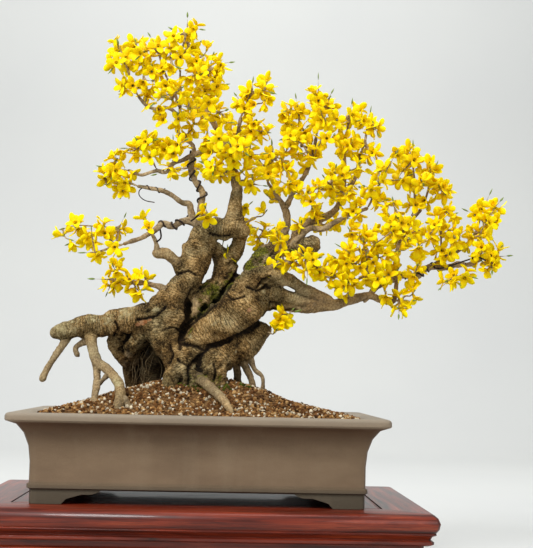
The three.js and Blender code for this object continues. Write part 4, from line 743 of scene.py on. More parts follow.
def nearest_wood(points, names):
    """For each point, the limb that it belongs to: how far along the limb it lies, and the limb's radius there."""
    lines = [limb_line(name, 0.004) for name in names]
    middles = np.concatenate([line for line, _, _ in lines])
    ways = np.concatenate([unit(np.gradient(line, axis=0)) for line, _, _ in lines])
    radii = np.concatenate([size for _, size, _ in lines])
    along = np.concatenate([a + 0.37 * i for i, (_, _, a) in enumerate(lines)])
    best = np.empty(len(points), int)
    small = middles.astype(np.float32)
    for start in range(0, len(points), 4000):
        part = points[start:start + 4000].astype(np.float32)
        square = (part**2).sum(1)[:, None] - 2 * part @ small.T + (small**2).sum(1)[None]
        best[start:start + 4000] = (np.sqrt(np.maximum(square, 0)) - radii[None]).argmin(1)
    return along[best] + ((points - middles[best]) * ways[best]).sum(1), radii[best]


def drawn(points):
    """The inverse of placed: x, depth and height in millimetres, as the point looks from the front."""
    here = (points - MIDDLE) / MM
    eye = EYE / MM
    reach = 1 - here[:, 1] / eye[1]
    return np.stack([eye[0] + (here[:, 0] - eye[0]) / reach, here[:, 1], eye[2] + (here[:, 2] - eye[2]) / reach], -1)


def near_lines(points, rows):
    """How near each point looks to lines drawn on the front, from 0 to 1: a bell curve of the distance seen."""
    flat = drawn(points)[:, [0, 2]].astype(np.float32)
    strength = np.zeros(len(points))
    for width, line in rows:
        line = np.array(line, float)
        station = np.linspace(0, len(line) - 1, 12 * len(line))
        knots = np.stack([np.interp(station, np.arange(len(line)), line[:, k]) for k in (0, 1)], -1).astype(np.float32)
        close = np.full(len(points), 1e9, np.float32)
        for knot in knots:
            close = np.minimum(close, ((flat - knot) ** 2).sum(1))
        strength = np.maximum(strength, np.exp(-close / width**2))
    return strength


def relaxed(points, edges, rounds, share=0.5):
    """Moves each point towards the mean of its neighbours, a number of times."""
    count = np.bincount(edges.ravel(), minlength=len(points))[:, None]
    for _ in range(rounds):
        total = np.zeros_like(points)
        for k in range(3):
            total[:, k] = np.bincount(edges[:, 0], points[edges[:, 1], k], len(points))
            total[:, k] += np.bincount(edges[:, 1], points[edges[:, 0], k], len(points))
        points = points + share * (total / np.maximum(count, 1) - points)
    return points


def mesh_arrays(made):
    """Points, edges and normals of a mesh object."""
    mesh = made.data
    points = np.empty(len(mesh.vertices) * 3, np.float32)
    mesh.vertices.foreach_get("co", points)
    edges = np.empty(len(mesh.edges) * 2, np.int32)
    mesh.edges.foreach_get("vertices", edges)
    normals = np.empty(len(mesh.vertices) * 3, np.float32)
    mesh.vertex_normals.foreach_get("vector", normals)
    return points.reshape(-1, 3).astype(float), edges.reshape(-1, 2), normals.reshape(-1, 3).astype(float)


def set_points(made, points):
    made.data.vertices.foreach_set("co", points.astype(np.float32).ravel())
    made.data.update()


def fused(made, voxel):
    """The mesh remade as one skin of even quads, as fine as the voxel."""
    remesh = made.modifiers.new("one_skin", "REMESH")
    remesh.mode = "VOXEL"
    remesh.voxel_size = voxel
    whole = bpy.data.meshes.new_from_object(made.evaluated_get(bpy.context.evaluated_depsgraph_get()))
    made.modifiers.clear()
    old = made.data
    made.data = whole
    whole.name = made.name
    bpy.data.meshes.remove(old)
    return made


# Places on the wood, drawn as the limbs are, with how far each patch spreads.
MOSS = [
    (-5, 6, 148, 20), (12, 8, 172, 22), (30, -4, 186, 16), (42, 2, 200, 18), (60, 4, 222, 20), (78, 14, 232, 20),
    (88, -10, 222, 13), (54, -16, 196, 12), (70, -14, 214, 16), (-12, -28, 46, 13), (6, -36, 44, 15),
    (26, -36, 46, 13), (20, 2, 168, 16), (36, -2, 190, 18), (2, 10, 152, 18), (-20, -20, 118, 8),
    (-30, -14, 136, 7), (-120, -96, 14, 9), (40, 34, 230, 26), (0, 40, 120, 30), (60, 40, 150, 26), (-60, 40, 90, 24),
]
LICHEN = [
    (-99, 6, 106, 20), (-108, 6, 88, 16), (-98, -4, 98, 16), (-92, -8, 116, 13), (-71, -26, 146, 13), (-74, -22, 132, 11),
    (84, -34, 178, 16), (104, -30, 132, 14), (84, 2, 112, 16), (70, -20, 206, 14), (96, 10, 232, 14),
    (-112, -18, 140, 22), (-136, -18, 130, 20), (-160, -18, 126, 20), (-186, -18, 118, 20), (-206, -18, 112, 16),
    (-150, -40, 84, 12), (-124, -90, 40, 14), (50, -26, 84, 12), (-10, -26, 66, 9), (34, -30, 50, 10), (-20, -26, 112, 10), (16, -30, 128, 12),
    (-40, 24, 160, 26), (100, 40, 200, 30), (-180, 4, 120, 16),
]
SCARS = [(-88, -22, 130, 8), (-80, -24, 134, 6), (-96, -18, 124, 5), (-48, -30, 101, 4), (66, -40, 150, 5)]
# Patches where shade is painted into the bark: the back of the hollow under the left roots and a few deep places at
# the base.
CAVE_SHADE = [
    (-74, 48, 66, 44), (-92, 54, 50, 38), (-78, 48, 34, 40), (-84, 58, 92, 34), (-104, 54, 66, 28),
    (-20, -14, 52, 8), (-14, -18, 40, 8), (52, 30, 40, 30), (-62, 30, 76, 22), (-56, 34, 52, 24), (-66, 26, 40, 20),
    (-73, 26, 104, 16), (-80, 28, 86, 20), (-87, 28, 72, 22), (-62, 22, 96, 16), (-60, 22, 80, 22), (-70, 24, 64, 26),
    (-94, 34, 70, 22),
]
CRAGS = [
    (-5, 6, 150, 24), (14, 10, 176, 26), (36, 10, 196, 22), (60, 0, 218, 20), (-20, -24, 62, 24), (20, -24, 60, 24),
    (50, -14, 84, 26), (-60, -10, 138, 24), (-110, 10, 100, 26), (82, -8, 236, 22), (74, 0, 226, 20), (120, 0, 244, 40), (0, 60, 100, 60), (60, 50, 160, 60),
]

# Clefts drawn on the front: width, and points by x and height.
CLEFTS = [
    (3.4, [(-33, 92), (-32, 101), (-31, 122), (-24, 136), (-23, 160), (-18, 177)]),
    (3.6, [(-31, 119), (-11, 137), (9, 152), (20, 164), (37, 188), (46, 202), (58, 216)]),
    (3.2, [(-32, 101), (2, 90), (10, 96), (34, 103), (57, 115), (80, 130)]),
    (3.4, [(2, 90), (-9, 76), (-21, 67), (-20, 49), (-22, 36)]),
    (2.2, [(-48, 96), (-44, 82), (-50, 70)]), (2.0, [(-36, 76), (-26, 70), (-21, 67)]),
    (2.2, [(-56, 152), (-70, 138), (-96, 132)]), (1.8, [(-128, 128), (-122, 118), (-130, 108)]),
    (1.8, [(16, 70), (20, 58), (16, 46)]), (1.8, [(96, 200), (84, 194), (76, 184)]),
    (1.7, [(28, 176), (40, 166), (58, 170)]), (1.7, [(-40, 200), (-24, 206), (-12, 200)]),
    (2.0, [(62, 184), (78, 178), (90, 186)]), (1.6, [(-60, 118), (-46, 122), (-34, 118)]),
    (1.8, [(100, 152), (116, 150), (134, 152)]), (1.6, [(6, 262), (20, 256), (34, 258)]),
]


def patches(points, rows):
    """How strongly each point lies in a set of round patches, from 0 to 1: a bell curve of the distance."""
    rows = np.asarray(rows, float)
    middles = placed(rows)
    strength = np.zeros(len(points))
    for middle, reach in zip(middles, rows[:, 3] * MM):
        strength = np.maximum(strength, np.exp(-((points - middle) ** 2).sum(1) / reach**2))
    return strength


def weathered(made, names, depth):
    """Shapes old bark: lumps, folds across the limb, cracks and clefts, and notes where moss and lichen sit.

    Each point moves along its normal by depth times a sum of smooth random fields, of folded waves of the distance
    along the limb, and of the clefts drawn on the front. Painted shade darkens a point where the smoothed skin lies
    outside it, along the cracks, in the clefts drawn on the front and in the cave patches.
    """
    points, edges, normals = mesh_arrays(made)
    points = relaxed(points, edges, 3)
    along, radius = nearest_wood(points, names)
    girth = np.clip(radius / (18 * MM), 0.14, 1.15)
    lumps = waves(points, 0.04, 11) * 0.6 + waves(points, 0.018, 12) * 0.42
    knots = np.maximum(waves(points, 0.022, 13) - 1.1, 0) * 1.5
    phase = along * 560 + 2.2 * waves(points, 0.03, 14) + 1.0 * waves(points, 0.012, 15)
    folds = (1 - np.abs(np.sin(phase))) ** 2 * smooth_step(waves(points, 0.035, 16), -0.9, 0.5)
    cracks = np.maximum(1 - np.abs(waves(points * [1, 1, 0.5], 0.021, 17)) * 3.2, 0) ** 1.3
    cracks *= smooth_step(waves(points, 0.05, 18), -0.2, 0.6)
    faces_front = smooth_step(-normals[:, 1], -0.35, 0.25)
    clefts = near_lines(points, CLEFTS) * faces_front
    craggy = patches(points, CRAGS)
    grit = (0.16 + 0.5 * craggy) * waves(points, 0.006, 19) + 1.3 * craggy * waves(points, 0.0125, 20)
    grit -= 1.6 * craggy * np.maximum(waves(points, 0.011, 22) - 0.5, 0)
    shift = girth * (lumps + knots - 0.55 * folds - 1.0 * cracks) + grit - 4.2 * clefts
    moved = points + normals * (shift * depth)[:, None]
    smooth = relaxed(moved, edges, 12)
    broad = relaxed(smooth, edges, 70)
    inward = ((smooth - moved) * normals).sum(1) / MM
    deep = ((broad - moved) * normals).sum(1) / MM
    # Painted shade: how much the colour is darkened in recesses, cracks, clefts and the cave, where shade falls.
    painted_hollow_shade = 0.55 * smooth_step(inward, 0.1, 0.9) + 0.6 * smooth_step(deep, 0.8, 4.0) + 0.95 * clefts
    painted_hollow_shade += 0.3 * smooth_step(cracks * girth, 0.3, 1.0) + 0.95 * patches(moved, CAVE_SHADE)
    set_points(made, moved)
    moss = patches(moved, MOSS) * (0.6 + 0.5 * np.clip(painted_hollow_shade, 0, 1) + 0.35 * np.clip(normals[:, 2], 0, 1))
    lichen = patches(moved, LICHEN) * (0.75 + 0.3 * np.clip(normals[:, 2], -1, 1)) * (1 - np.clip(painted_hollow_shade, 0, 1))
    set_number(made, "along", along)
    set_number(made, "painted_hollow_shade", np.clip(painted_hollow_shade, 0, 1))
    set_number(made, "moss", np.clip(moss, 0, 1))
    set_number(made, "lichen", np.clip(lichen, 0, 1))
    set_number(made, "scar", np.clip(patches(moved, SCARS), 0, 1))
    set_number(made, "girth", 0.25 + 0.75 * smooth_step(radius, 5 * MM, 17 * MM))
    return made


thick_limbs = [name for name in LIMBS if name not in THIN_LIMBS]
shapes = [limb_shape(name, 0.0025, 36 if max(row[3] for row in LIMBS[name]) > 15 else 24) for name in thick_limbs]
points, quads, triangles = joined(shapes)
trunk = fused(new_mesh("trunk_and_roots", points, [quads, triangles]), 0.00192)
trunk.data.polygons.foreach_set("use_smooth", np.ones(len(trunk.data.polygons), bool))
weathered(trunk, thick_limbs, MM)
finish_piece(trunk, BARK, ["tree"])


# Sprays

SPRAYS = sorted(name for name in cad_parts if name.startswith("spray_"))
PETALS = 4
RIM = 12
TUBE_LENGTH = 7.2 * MM
NOTCH_REACH = 5.2 * MM
PETAL_REACH = 14 * MM

# Which sprays' blooms make one piece, by the last of their numbers.
BOUGHS = [
    ("left_low", 1), ("left_hanging", 2), ("leader_left", 6), ("wired_upright", 9), ("leader", 16),
    ("leader_rear", 20), ("wired_upright_front", 21), ("first_crown", 26), ("second_crown", 30), ("outer_rise", 34),
    ("far_right", 37), ("front_band", 40), ("crown_rear", 45),
]


def opened_spray(node):
    """Takes a spray's solid apart: the frames of its blooms, and its bare stem with the blooms taken off.

    A bloom's throat is the point where twelve faces meet. The corners of its rim follow each other round it:
    a notch, then the two corners of a petal's end.
    """
    points, faces = welded(node)
    meets = np.bincount(faces.ravel(), minlength=len(points))
    blooms, taken, feet = [], np.zeros(len(points), bool), []
    for throat in np.flatnonzero(meets == RIM):
        here = faces[(faces == throat).any(1)]
        turn = (here == throat).argmax(1)
        pairs = np.stack([here[np.arange(RIM), (turn + 1) % 3], here[np.arange(RIM), (turn + 2) % 3]], -1)
        after = dict(pairs.tolist())
        loop = [int(pairs[0, 0])]
        while len(loop) < RIM and after.get(loop[-1]) not in (None, loop[0]):
            loop.append(after[loop[-1]])
        reach = np.linalg.norm(points[loop] - points[throat], axis=1)
        if len(loop) < RIM or reach.min() < 4 * MM:
            continue
        start = min(range(3), key=lambda k: reach[k::3].sum())
        loop = np.roll(loop, -start)
        rim = points[loop]
        notches = rim[0::3].mean(0)
        axis = unit(notches - points[throat])
        size = np.linalg.norm(notches - points[throat]) / MM
        middle = notches + axis * 0.6 * MM * size
        ends = (rim[1::3] + rim[2::3]) / 2 - middle
        lift = ends @ axis
        ahead = unit(ends[0] - axis * lift[0])
        taken[loop] = taken[throat] = True
        side = faces[np.isin(faces, loop).any(1) & ~(faces == throat).any(1)]
        foot = np.setdiff1d(side, loop)
        feet.append(foot)
        blooms.append(dict(middle=middle, axis=axis, ahead=ahead, size=size, lift=lift, foot=points[foot].mean(0)))
    bare = faces[~taken[faces].any(1)]
    edges = {(a, b) for a, b in np.concatenate([bare[:, [0, 1]], bare[:, [1, 2]], bare[:, [2, 0]]]).tolist()}
    patched = []
    for foot in feet:
        a, b, c = foot.tolist()
        patched.append([a, b, c] if (b, a) in edges else [a, c, b])
    used = np.unique(np.concatenate([bare, np.array(patched)]))
    order = np.full(len(points), -1)
    order[used] = np.arange(len(used))
    return blooms, points[used], order[bare], order[np.array(patched)]


def bud_places(points, bare):
    """The free faces of a spray's pairs of buds: their middles and their normals. All their sides are short."""
    corners = points[bare]
    sides = np.linalg.norm(corners - np.roll(corners, 1, 1), axis=2).max(1)
    normals = unit(np.cross(corners[:, 1] - corners[:, 0], corners[:, 2] - corners[:, 0]))
    short = sides < 6.5 * MM
    return corners[short].mean(1), normals[short]


ALONG_PETAL = np.array([0.24, 0.52, 0.8, 1.0])
HALF_WIDTH = np.array([4.2, 4.6, 3.6, 1.2]) * MM
ACROSS_PETAL = np.array([-1, 0, 1])
COLUMNS = 2 * PETALS
TUBE_RINGS = ((0.0, 1.3), (0.78, 2.1))  # share of the tube's length, and radius in millimetres
THROAT_RADIUS = 2.6 * MM
BLOOM_SCALE = 1.1


def bloom_faces():
    """The quads of one bloom: a tube of rings, then four strips that leave its last ring, one for each petal."""
    rings = len(TUBE_RINGS) + 1
    tube_quads = grid_quads(rings, COLUMNS)
    mouth = (rings - 1) * COLUMNS
    strips = []
    for petal in range(PETALS):
        rows = [[mouth + (2 * petal + k) % COLUMNS for k in range(3)]]
        start = rings * COLUMNS + petal * len(ALONG_PETAL) * 3
        rows += [[start + 3 * i + k for k in range(3)] for i in range(len(ALONG_PETAL))]
        for low, high in zip(rows[:-1], rows[1:]):
            strips += [[low[k], low[k + 1], high[k + 1], high[k]] for k in range(2)]
    return np.concatenate([tube_quads[:, ::-1], np.array(strips)])


def bloom_points(foot, middle, axis, ahead, size, rise, bend, twist, sway, stretch):
    """Points of many blooms at once, as an array of blooms by points by 3.

    A petal's middle line starts at the mouth of the tube and leans away from the axis by an angle that grows
    evenly along it, from rise - bend / 2 to rise + bend / 2. Across it the petal is a shallow channel that turns by
    twist times the distance along it, and it sways sideways by the square of that distance.
    """
    side = np.cross(axis, ahead)
    count = len(middle)
    mouth = middle - axis * (1.4 * MM * size)[:, None]
    rings = []
    angle = (np.arange(COLUMNS) - 1) * np.pi / PETALS
    round_ = ahead[:, None] * np.cos(angle)[None, :, None] + side[:, None] * np.sin(angle)[None, :, None]
    for share, radius in (*TUBE_RINGS, (1.0, THROAT_RADIUS / MM)):
        centre = foot + (mouth - foot) * share
        rings.append(centre[:, None] + round_ * (radius * MM * size)[:, None, None])
    petals = []
    steps = np.diff(np.concatenate([[0], ALONG_PETAL]))
    for petal in range(PETALS):
        turn = petal * np.pi / 2
        out = ahead * np.cos(turn) + side * np.sin(turn)
        flank = side * np.cos(turn) - ahead * np.sin(turn)
        at = (ALONG_PETAL - steps / 2)[None]
        lean = rise[:, petal, None] + bend[:, petal, None] * (at - 0.5)
        length = (PETAL_REACH - THROAT_RADIUS) * 1.08 * stretch[:, petal, None] * steps[None]
        r = THROAT_RADIUS + np.cumsum(length * np.sin(lean), 1)
        h = np.cumsum(length * np.cos(lean), 1)
        lean_at = rise[:, petal, None] + bend[:, petal, None] * (ALONG_PETAL - 0.5)[None]
        roll = twist[:, petal, None, None] * ALONG_PETAL[None, :, None]
        v = HALF_WIDTH[None, :, None] * ACROSS_PETAL[None, None, :]
        cup = 1.5 * MM * (ACROSS_PETAL**2 - 0.4)[None, None] * (1 - 0.55 * ALONG_PETAL)[None, :, None]
        wide = v * np.cos(roll) - cup * np.sin(roll) + (sway[:, petal, None] * ALONG_PETAL[None]**2)[..., None]
        thick = v * np.sin(roll) + cup * np.cos(roll)
        r_all = r[..., None] - thick * np.cos(lean_at)[..., None]
        h_all = h[..., None] + thick * np.sin(lean_at)[..., None]
        local = out[:, None, None] * r_all[..., None] + flank[:, None, None] * wide[..., None]
        local = local + axis[:, None, None] * h_all[..., None]
        petals.append((mouth[:, None, None] + local * size[:, None, None, None]).reshape(count, -1, 3))
    return np.concatenate(rings + petals, 1)


def bloom_reach():
    """How far out each point of a bloom is, from 0 at the foot of its tube to 1 at the ends of its petals, and how
    near a petal's edge."""
    tube_share = np.repeat([0.0, 0.14, 0.27], COLUMNS)
    petal_share = np.tile(np.repeat(0.27 + 0.73 * ALONG_PETAL, 3), PETALS)
    edge = np.tile(np.abs(ACROSS_PETAL), PETALS * len(ALONG_PETAL))
    return np.concatenate([tube_share, petal_share]), np.concatenate([np.full(3 * COLUMNS, 0.5), edge])


def bloom_piece(name, rows, nodes=()):
    """Makes one piece of many blooms. Each row gives a bloom's frame, how open it is and how its petals lie."""
    count = len(rows)
    arrays = {key: np.array([row[key] for row in rows]) for key in ("foot", "middle", "axis", "ahead", "size", "rise")}
    arrays["size"] = arrays["size"] * BLOOM_SCALE
    bend = rng.normal(0.6, 0.35, (count, PETALS))
    twist = rng.normal(0, 0.45, (count, PETALS))
    sway = rng.normal(0, 1.0 * MM, (count, PETALS))
    stretch = rng.uniform(0.92, 1.14, (count, PETALS))
    points = bloom_points(**arrays, bend=bend, twist=twist, sway=sway, stretch=stretch)
    faces = bloom_faces()
    each = points.shape[1]
    made = new_mesh(name, points.reshape(-1, 3), [(faces[None] + each * np.arange(count)[:, None, None]).reshape(-1, 4)])
    reach, edge = bloom_reach()
    set_number(made, "reach", np.tile(reach, count))
    set_number(made, "edge", np.tile(edge, count))
    set_number(made, "tone", np.repeat(rng.uniform(0, 1, count), each))
    skin = made.modifiers.new("petal_thickness", "SOLIDIFY")
    skin.thickness = 0.00045
    skin.offset = 0
    skin.use_even_offset = False
    return finish_piece(made, PETAL, nodes)


def open_bloom_row(bloom):
    """A bloom of the solid, with each petal's lean chosen so that its end lies as high as the solid's."""
    length = (PETAL_REACH - THROAT_RADIUS) * 1.08
    high = (bloom["lift"] / bloom["size"] + 1.4 * MM) / length
    rise = np.arccos(np.clip(high, -0.1, 0.9)) - np.abs(rng.normal(0.05, 0.14, PETALS))
    return dict(bloom, rise=rise)


def extra_row(place, normal, taken_middles):
    """A younger bloom at a free place: half open where it has little room."""
    axis = unit(normal + rng.normal(0, 0.3, 3) + [0, -0.1, -0.15])
    gap = np.linalg.norm(taken_middles - (place + axis * 8 * MM), axis=1).min()
    if gap < 10 * MM:
        return None
    openness = rng.uniform(0.35, 0.7) if gap < 15 * MM else rng.uniform(0.75, 1.1)
    size = rng.uniform(0.76, 0.88) if gap < 15 * MM else rng.uniform(0.88, 1.02)
    ahead = unit(np.cross(axis, rng.normal(0, 1, 3)))
    rise = np.clip(rng.normal(1.25, 0.1, PETALS) * openness, 0.2, 1.45)
    return dict(middle=place + axis * TUBE_LENGTH * size, axis=axis, ahead=ahead, size=size, rise=rise, foot=place)


opened = {name: opened_spray(name) for name in SPRAYS}
wood_line = np.concatenate([limb_line(name, 0.004)[0] for name in LIMBS])
wood_radius = np.concatenate([limb_line(name, 0.004)[1] for name in LIMBS])
taken_middles = np.array([bloom["middle"] for parts in opened.values() for bloom in parts[0]])
candidates = [(name, *place) for name in SPRAYS for place in zip(*bud_places(opened[name][1], opened[name][2]))]
extras = {name: [] for name in SPRAYS}
for index in rng.permutation(len(candidates)):
    name, place, normal = candidates[index]
    row = extra_row(place, normal, taken_middles) if rng.random() < 0.6 else None
    if row is not None:
        extras[name].append(row)
        taken_middles = np.concatenate([taken_middles, [row["middle"]]])
first = 0
for bough, last in BOUGHS:
    names = SPRAYS[first:last]
    first = last
    rows = [open_bloom_row(bloom) for name in names for bloom in opened[name][0]]
    rows += [row for name in names for row in extras[name]]
    bloom_piece("blooms_" + bough, rows, names)

# Short flowering twigs between the sprays, read off the photograph: the column and row of the pixel where
# the twig's end is seen, its depth behind the middle plane in millimetres, a guess that keeps the crown's thickness,
# how far its blooms spread round it in millimetres, and how many it bears.
TWIG_PIXELS = [
    (119, 50, 6, 14, 6), (124, 70, 0, 14, 5), (137, 48, 10, 13, 4), (150, 50, -14, 14, 6),
    (152, 72, -18, 13, 5), (146, 96, 4, 13, 5), (160, 117, 8, 14, 5), (178, 120, -12, 13, 5),
    (192, 129, 10, 13, 5), (203, 56, 4, 14, 5), (197, 78, -16, 14, 6), (214, 78, 8, 12, 4),
    (168, 88, -20, 14, 5), (207, 136, -18, 14, 6), (212, 152, -10, 13, 5), (226, 122, -14, 14, 5),
    (246, 96, 2, 15, 5), (262, 103, -6, 12, 4), (266, 86, 6, 11, 3), (262, 132, 4, 14, 6),
    (240, 148, -24, 14, 6), (132, 152, -4, 13, 5), (147, 146, -14, 13, 4), (165, 150, 4, 12, 4),
    (105, 176, -12, 12, 5), (246, 176, -16, 14, 6), (232, 160, -26, 12, 4), (287, 120, -6, 13, 4),
    (292, 140, -18, 13, 5), (286, 152, 6, 12, 3), (318, 100, -2, 12, 4), (323, 118, -18, 14, 6),
    (330, 140, -22, 14, 6), (312, 150, -8, 13, 5), (350, 146, -14, 13, 5), (356, 168, -22, 14, 6),
    (342, 180, -10, 13, 5), (374, 128, -8, 12, 4), (396, 154, -12, 13, 5), (411, 156, 4, 12, 5),
    (430, 170, -8, 13, 5), (441, 190, -14, 13, 5), (424, 186, -22, 13, 4), (286, 184, -10, 13, 4),
    (300, 195, -18, 14, 5), (312, 208, -10, 13, 5), (320, 190, -26, 14, 5), (345, 195, -28, 14, 6),
    (356, 212, -20, 14, 6), (352, 234, -30, 14, 6), (368, 236, -34, 15, 7), (380, 202, -24, 14, 6),
    (394, 206, -30, 14, 6), (390, 222, -36, 14, 6), (402, 250, -38, 15, 7), (384, 256, -40, 14, 6),
    (420, 248, -34, 14, 6), (432, 232, -28, 14, 6), (416, 270, -30, 14, 5), (406, 228, -30, 13, 5),
    (474, 236, -10, 14, 6), (492, 224, 0, 13, 5), (482, 250, -16, 14, 6), (498, 252, -8, 12, 5),
    (487, 266, -12, 12, 4), (450, 214, -18, 12, 5), (281, 246, -40, 12, 4), (277, 238, -38, 10, 3),
    (296, 262, -44, 12, 4), (318, 270, -46, 14, 6), (330, 278, -48, 14, 6), (344, 288, -40, 12, 4),
    (352, 262, -46, 14, 6), (340, 262, -42, 12, 4), (376, 280, -36, 14, 6), (372, 262, -44, 14, 6),
    (360, 250, -40, 12, 4), (394, 274, -30, 12, 4), (66, 238, -14, 14, 6), (76, 228, -6, 11, 3),
    (92, 236, -18, 11, 3), (147, 224, -20, 10, 2), (130, 282, -22, 13, 5), (143, 276, -14, 12, 4),
    (116, 270, -18, 11, 3), (138, 290, -20, 11, 3), (410, 296, -18, 10, 2), (386, 296, -24, 10, 2),
    (288, 314, -14, 9, 2), (273, 334, -16, 7, 1), (227, 255, 20, 10, 2), (222, 248, 24, 8, 1),
    (246, 207, 18, 8, 1), (272, 200, 10, 9, 2), (262, 216, 16, 8, 1), (300, 228, 4, 10, 2),
    (276, 268, -30, 8, 2), (458, 240, -16, 12, 4), (446, 256, -20, 12, 4),
]
STEM_POINTS = np.concatenate([opened[name][1] for name in SPRAYS])


def twig_line(end):
    """A twig from the nearest wood or shoot to its end: it leaves the wood, bows upwards and runs on a little."""
    near = np.concatenate([wood_line, STEM_POINTS])
    gap = np.linalg.norm(near - end, axis=1)
    cost = gap + 0.6 * np.maximum(near[:, 2] - end[2], 0) + np.maximum(14 * MM - gap, 0)
    start = near[cost.argmin()]
    away = end - start
    reach = np.linalg.norm(away)
    bow = rng.normal(0, 0.07, 3) * reach + [0, 0, 0.06 * reach]
    kink = rng.normal(0, 0.9 * MM, 3)
    rows = np.array([start, start + away * 0.35 + bow, start + away * 0.7 + bow * 0.8 + kink, end])
    rows = np.concatenate([rows, [end + unit(unit(away) + [0, 0, 0.7]) * 9 * MM]])
    return flowing(rows, np.array([1.55, 1.3, 1.15, 0.95, 0.7]) * MM, 0.002)


def twig_blooms(line, end, spread, wanted, taken):
    """Blooms that stand all round the outer part of a twig, facing outwards and, more often than not, forwards."""
    rows = []
    near = line[np.linalg.norm(line - end, axis=1) < spread]
    for _ in range(wanted * 12):
        if len(rows) == wanted:
            break
        foot = near[rng.integers(len(near))]
        axis = unit(rng.normal(0, 1, 3) + [0, -0.45, -0.1])
        size = rng.uniform(0.84, 1.04)
        tube_length = rng.uniform(5.5, 9) * MM
        middle = foot + axis * tube_length * size
        if np.linalg.norm(taken - middle, axis=1).min() < rng.uniform(10, 15.5) * MM:
            continue
        openness = rng.choice([0.45, 0.8, 1.0], p=[0.12, 0.33, 0.55])
        ahead = unit(np.cross(axis, rng.normal(0, 1, 3)))
        rise = np.clip(rng.normal(0.98, 0.2, PETALS) * openness, 0.2, 1.5)
        rows.append(dict(middle=middle, axis=axis, ahead=ahead, size=size, rise=rise, foot=foot))
        taken = np.concatenate([taken, [middle]])
    return rows, taken


twig_shapes, twig_tips, twig_rows = [], [], []
for column, row, depth, spread, wanted in TWIG_PIXELS:
    end = seen_at(column, row, depth * MM)
    line, size, _ = twig_line(end)
    twig_shapes.append(tube(line, size, 7))
    twig_tips.append((line[-1], unit(line[-1] - line[-4])))
    rows, taken_middles = twig_blooms(line, end, spread * MM, wanted, taken_middles)
    twig_rows += rows
half = len(twig_rows) // 2
bloom_piece("blooms_between_left", twig_rows[:half])
bloom_piece("blooms_between_right", twig_rows[half:])
points, quads, triangles = joined(twig_shapes)
finish_piece(new_mesh("flowering_twigs", points, [quads, triangles]), YOUNG_BARK)


def shoot_tips(points, bare):
    """Which points of a spray are the ends of its stems, because their neighbours all lie to one side, and the way
    on from there."""
    edges = np.concatenate([bare[:, [0, 1]], bare[:, [1, 2]], bare[:, [2, 0]]])
    gone = points[edges[:, 1]] - points[edges[:, 0]]
    total, count = np.zeros_like(points), np.bincount(edges[:, 0], minlength=len(points))
    np.add.at(total, edges[:, 0], unit(gone))
    mean = total / np.maximum(count, 1)[:, None]
    sharp = np.flatnonzero((np.linalg.norm(mean, axis=1) > 0.93) & (count >= 3))
    return sharp, -unit(mean[sharp])


def shoots_piece():
    """The young shoots of all the sprays. Their three-sided stems are swollen along their normals by a share of
    their own radius, because the subdivision that rounds them draws them in."""
    all_points, all_faces, all_tips, start = [], [], [], 0
    for name in SPRAYS:
        _, points, bare, patched = opened[name]
        is_tip = np.zeros(len(points))
        is_tip[shoot_tips(points, bare)[0]] = 1
        all_tips.append(is_tip)
        faces = np.concatenate([bare, patched])
        corners = points[faces]
        normals = np.cross(corners[:, 1] - corners[:, 0], corners[:, 2] - corners[:, 0])
        at_point = np.zeros_like(points)
        for k in range(3):
            np.add.at(at_point, faces[:, k], normals)
        shortest = np.full(len(points), 1.0)
        for k in range(3):
            length = np.linalg.norm(corners[:, k] - corners[:, (k + 1) % 3], axis=1)
            np.minimum.at(shortest, faces[:, k], length)
            np.minimum.at(shortest, faces[:, (k + 1) % 3], length)
        radius = np.minimum(shortest / np.sqrt(3), 2.2 * MM)
        all_points.append(points + unit(at_point) * (0.5 * radius)[:, None])
        all_faces.append(faces + start)
        start += len(points)
    made = new_mesh("young_shoots", np.concatenate(all_points), all_faces)
    set_number(made, "crease_vert", np.concatenate(all_tips))
    smooth = made.modifiers.new("rounding", "SUBSURF")
    smooth.levels = smooth.render_levels = 2
    return finish_piece(made, YOUNG_BARK, SPRAYS)


shoots_piece()


# Thin limbs, with the old wood that joins each spray to its limb

def spray_start(name):
    """Where a spray's stem begins and which way it goes: the cut end is the flat face nearest to old wood."""
    _, points, bare, _ = opened[name]
    square = ((points[:, None] - wood_line[None]) ** 2).sum(-1)
    gap = np.sqrt(square) - wood_radius[None]
    corners = bare[gap.min(1)[bare].mean(1).argmin()]
    start = points[corners].mean(0)
    joint = gap[corners].mean(0).argmin()
    ahead = unit(np.cross(points[corners[1]] - points[corners[0]], points[corners[2]] - points[corners[0]]))
    return start, wood_line[joint], -ahead, wood_radius[joint]


def collar(name):
    """Old wood from a limb's middle to the start of a spray, thinning from the limb to the shoot."""
    start, joint, ahead, radius = spray_start(name)
    reach = np.linalg.norm(start - joint)
    rows = np.array([joint, joint + (start - joint) * 0.55, start + ahead * 0.4 * MM])
    radii = [min(radius * 0.8, 3.6 * MM), min(radius * 0.7, 2.6 * MM), 1.95 * MM]
    line, size, along = flowing(rows, radii, max(0.0016, reach / 24))
    return tube(line, size, 9, lambda row, angle: 1 + 0.08 * np.sin(2 * angle + along[row] * 900))


def thin_shape(name):
    """A thin limb: swollen a little at each old pair of buds, so it looks jointed."""
    line, radii, along = limb_line(name, 0.0016)
    beat = along / 0.021 + len(name)
    ring = np.exp(-((beat % 1 - 0.5) ** 2) / 0.012)
    radii = radii * (1 + 0.1 * ring + 0.07 * waves(line, 0.013, 21))

    def swell(row, angle):
        return 1 + 0.07 * np.sin(3 * angle + along[row] * 260) + 0.05 * np.cos(2 * angle - along[row] * 410)

    return tube(line, radii, 12, swell)


thin = [thin_shape(name) for name in THIN_LIMBS] + [collar(name) for name in SPRAYS]
points, quads, triangles = joined(thin)
branches = new_mesh("thin_branches", points, [quads, triangles])
along, radius = nearest_wood(points, list(LIMBS))
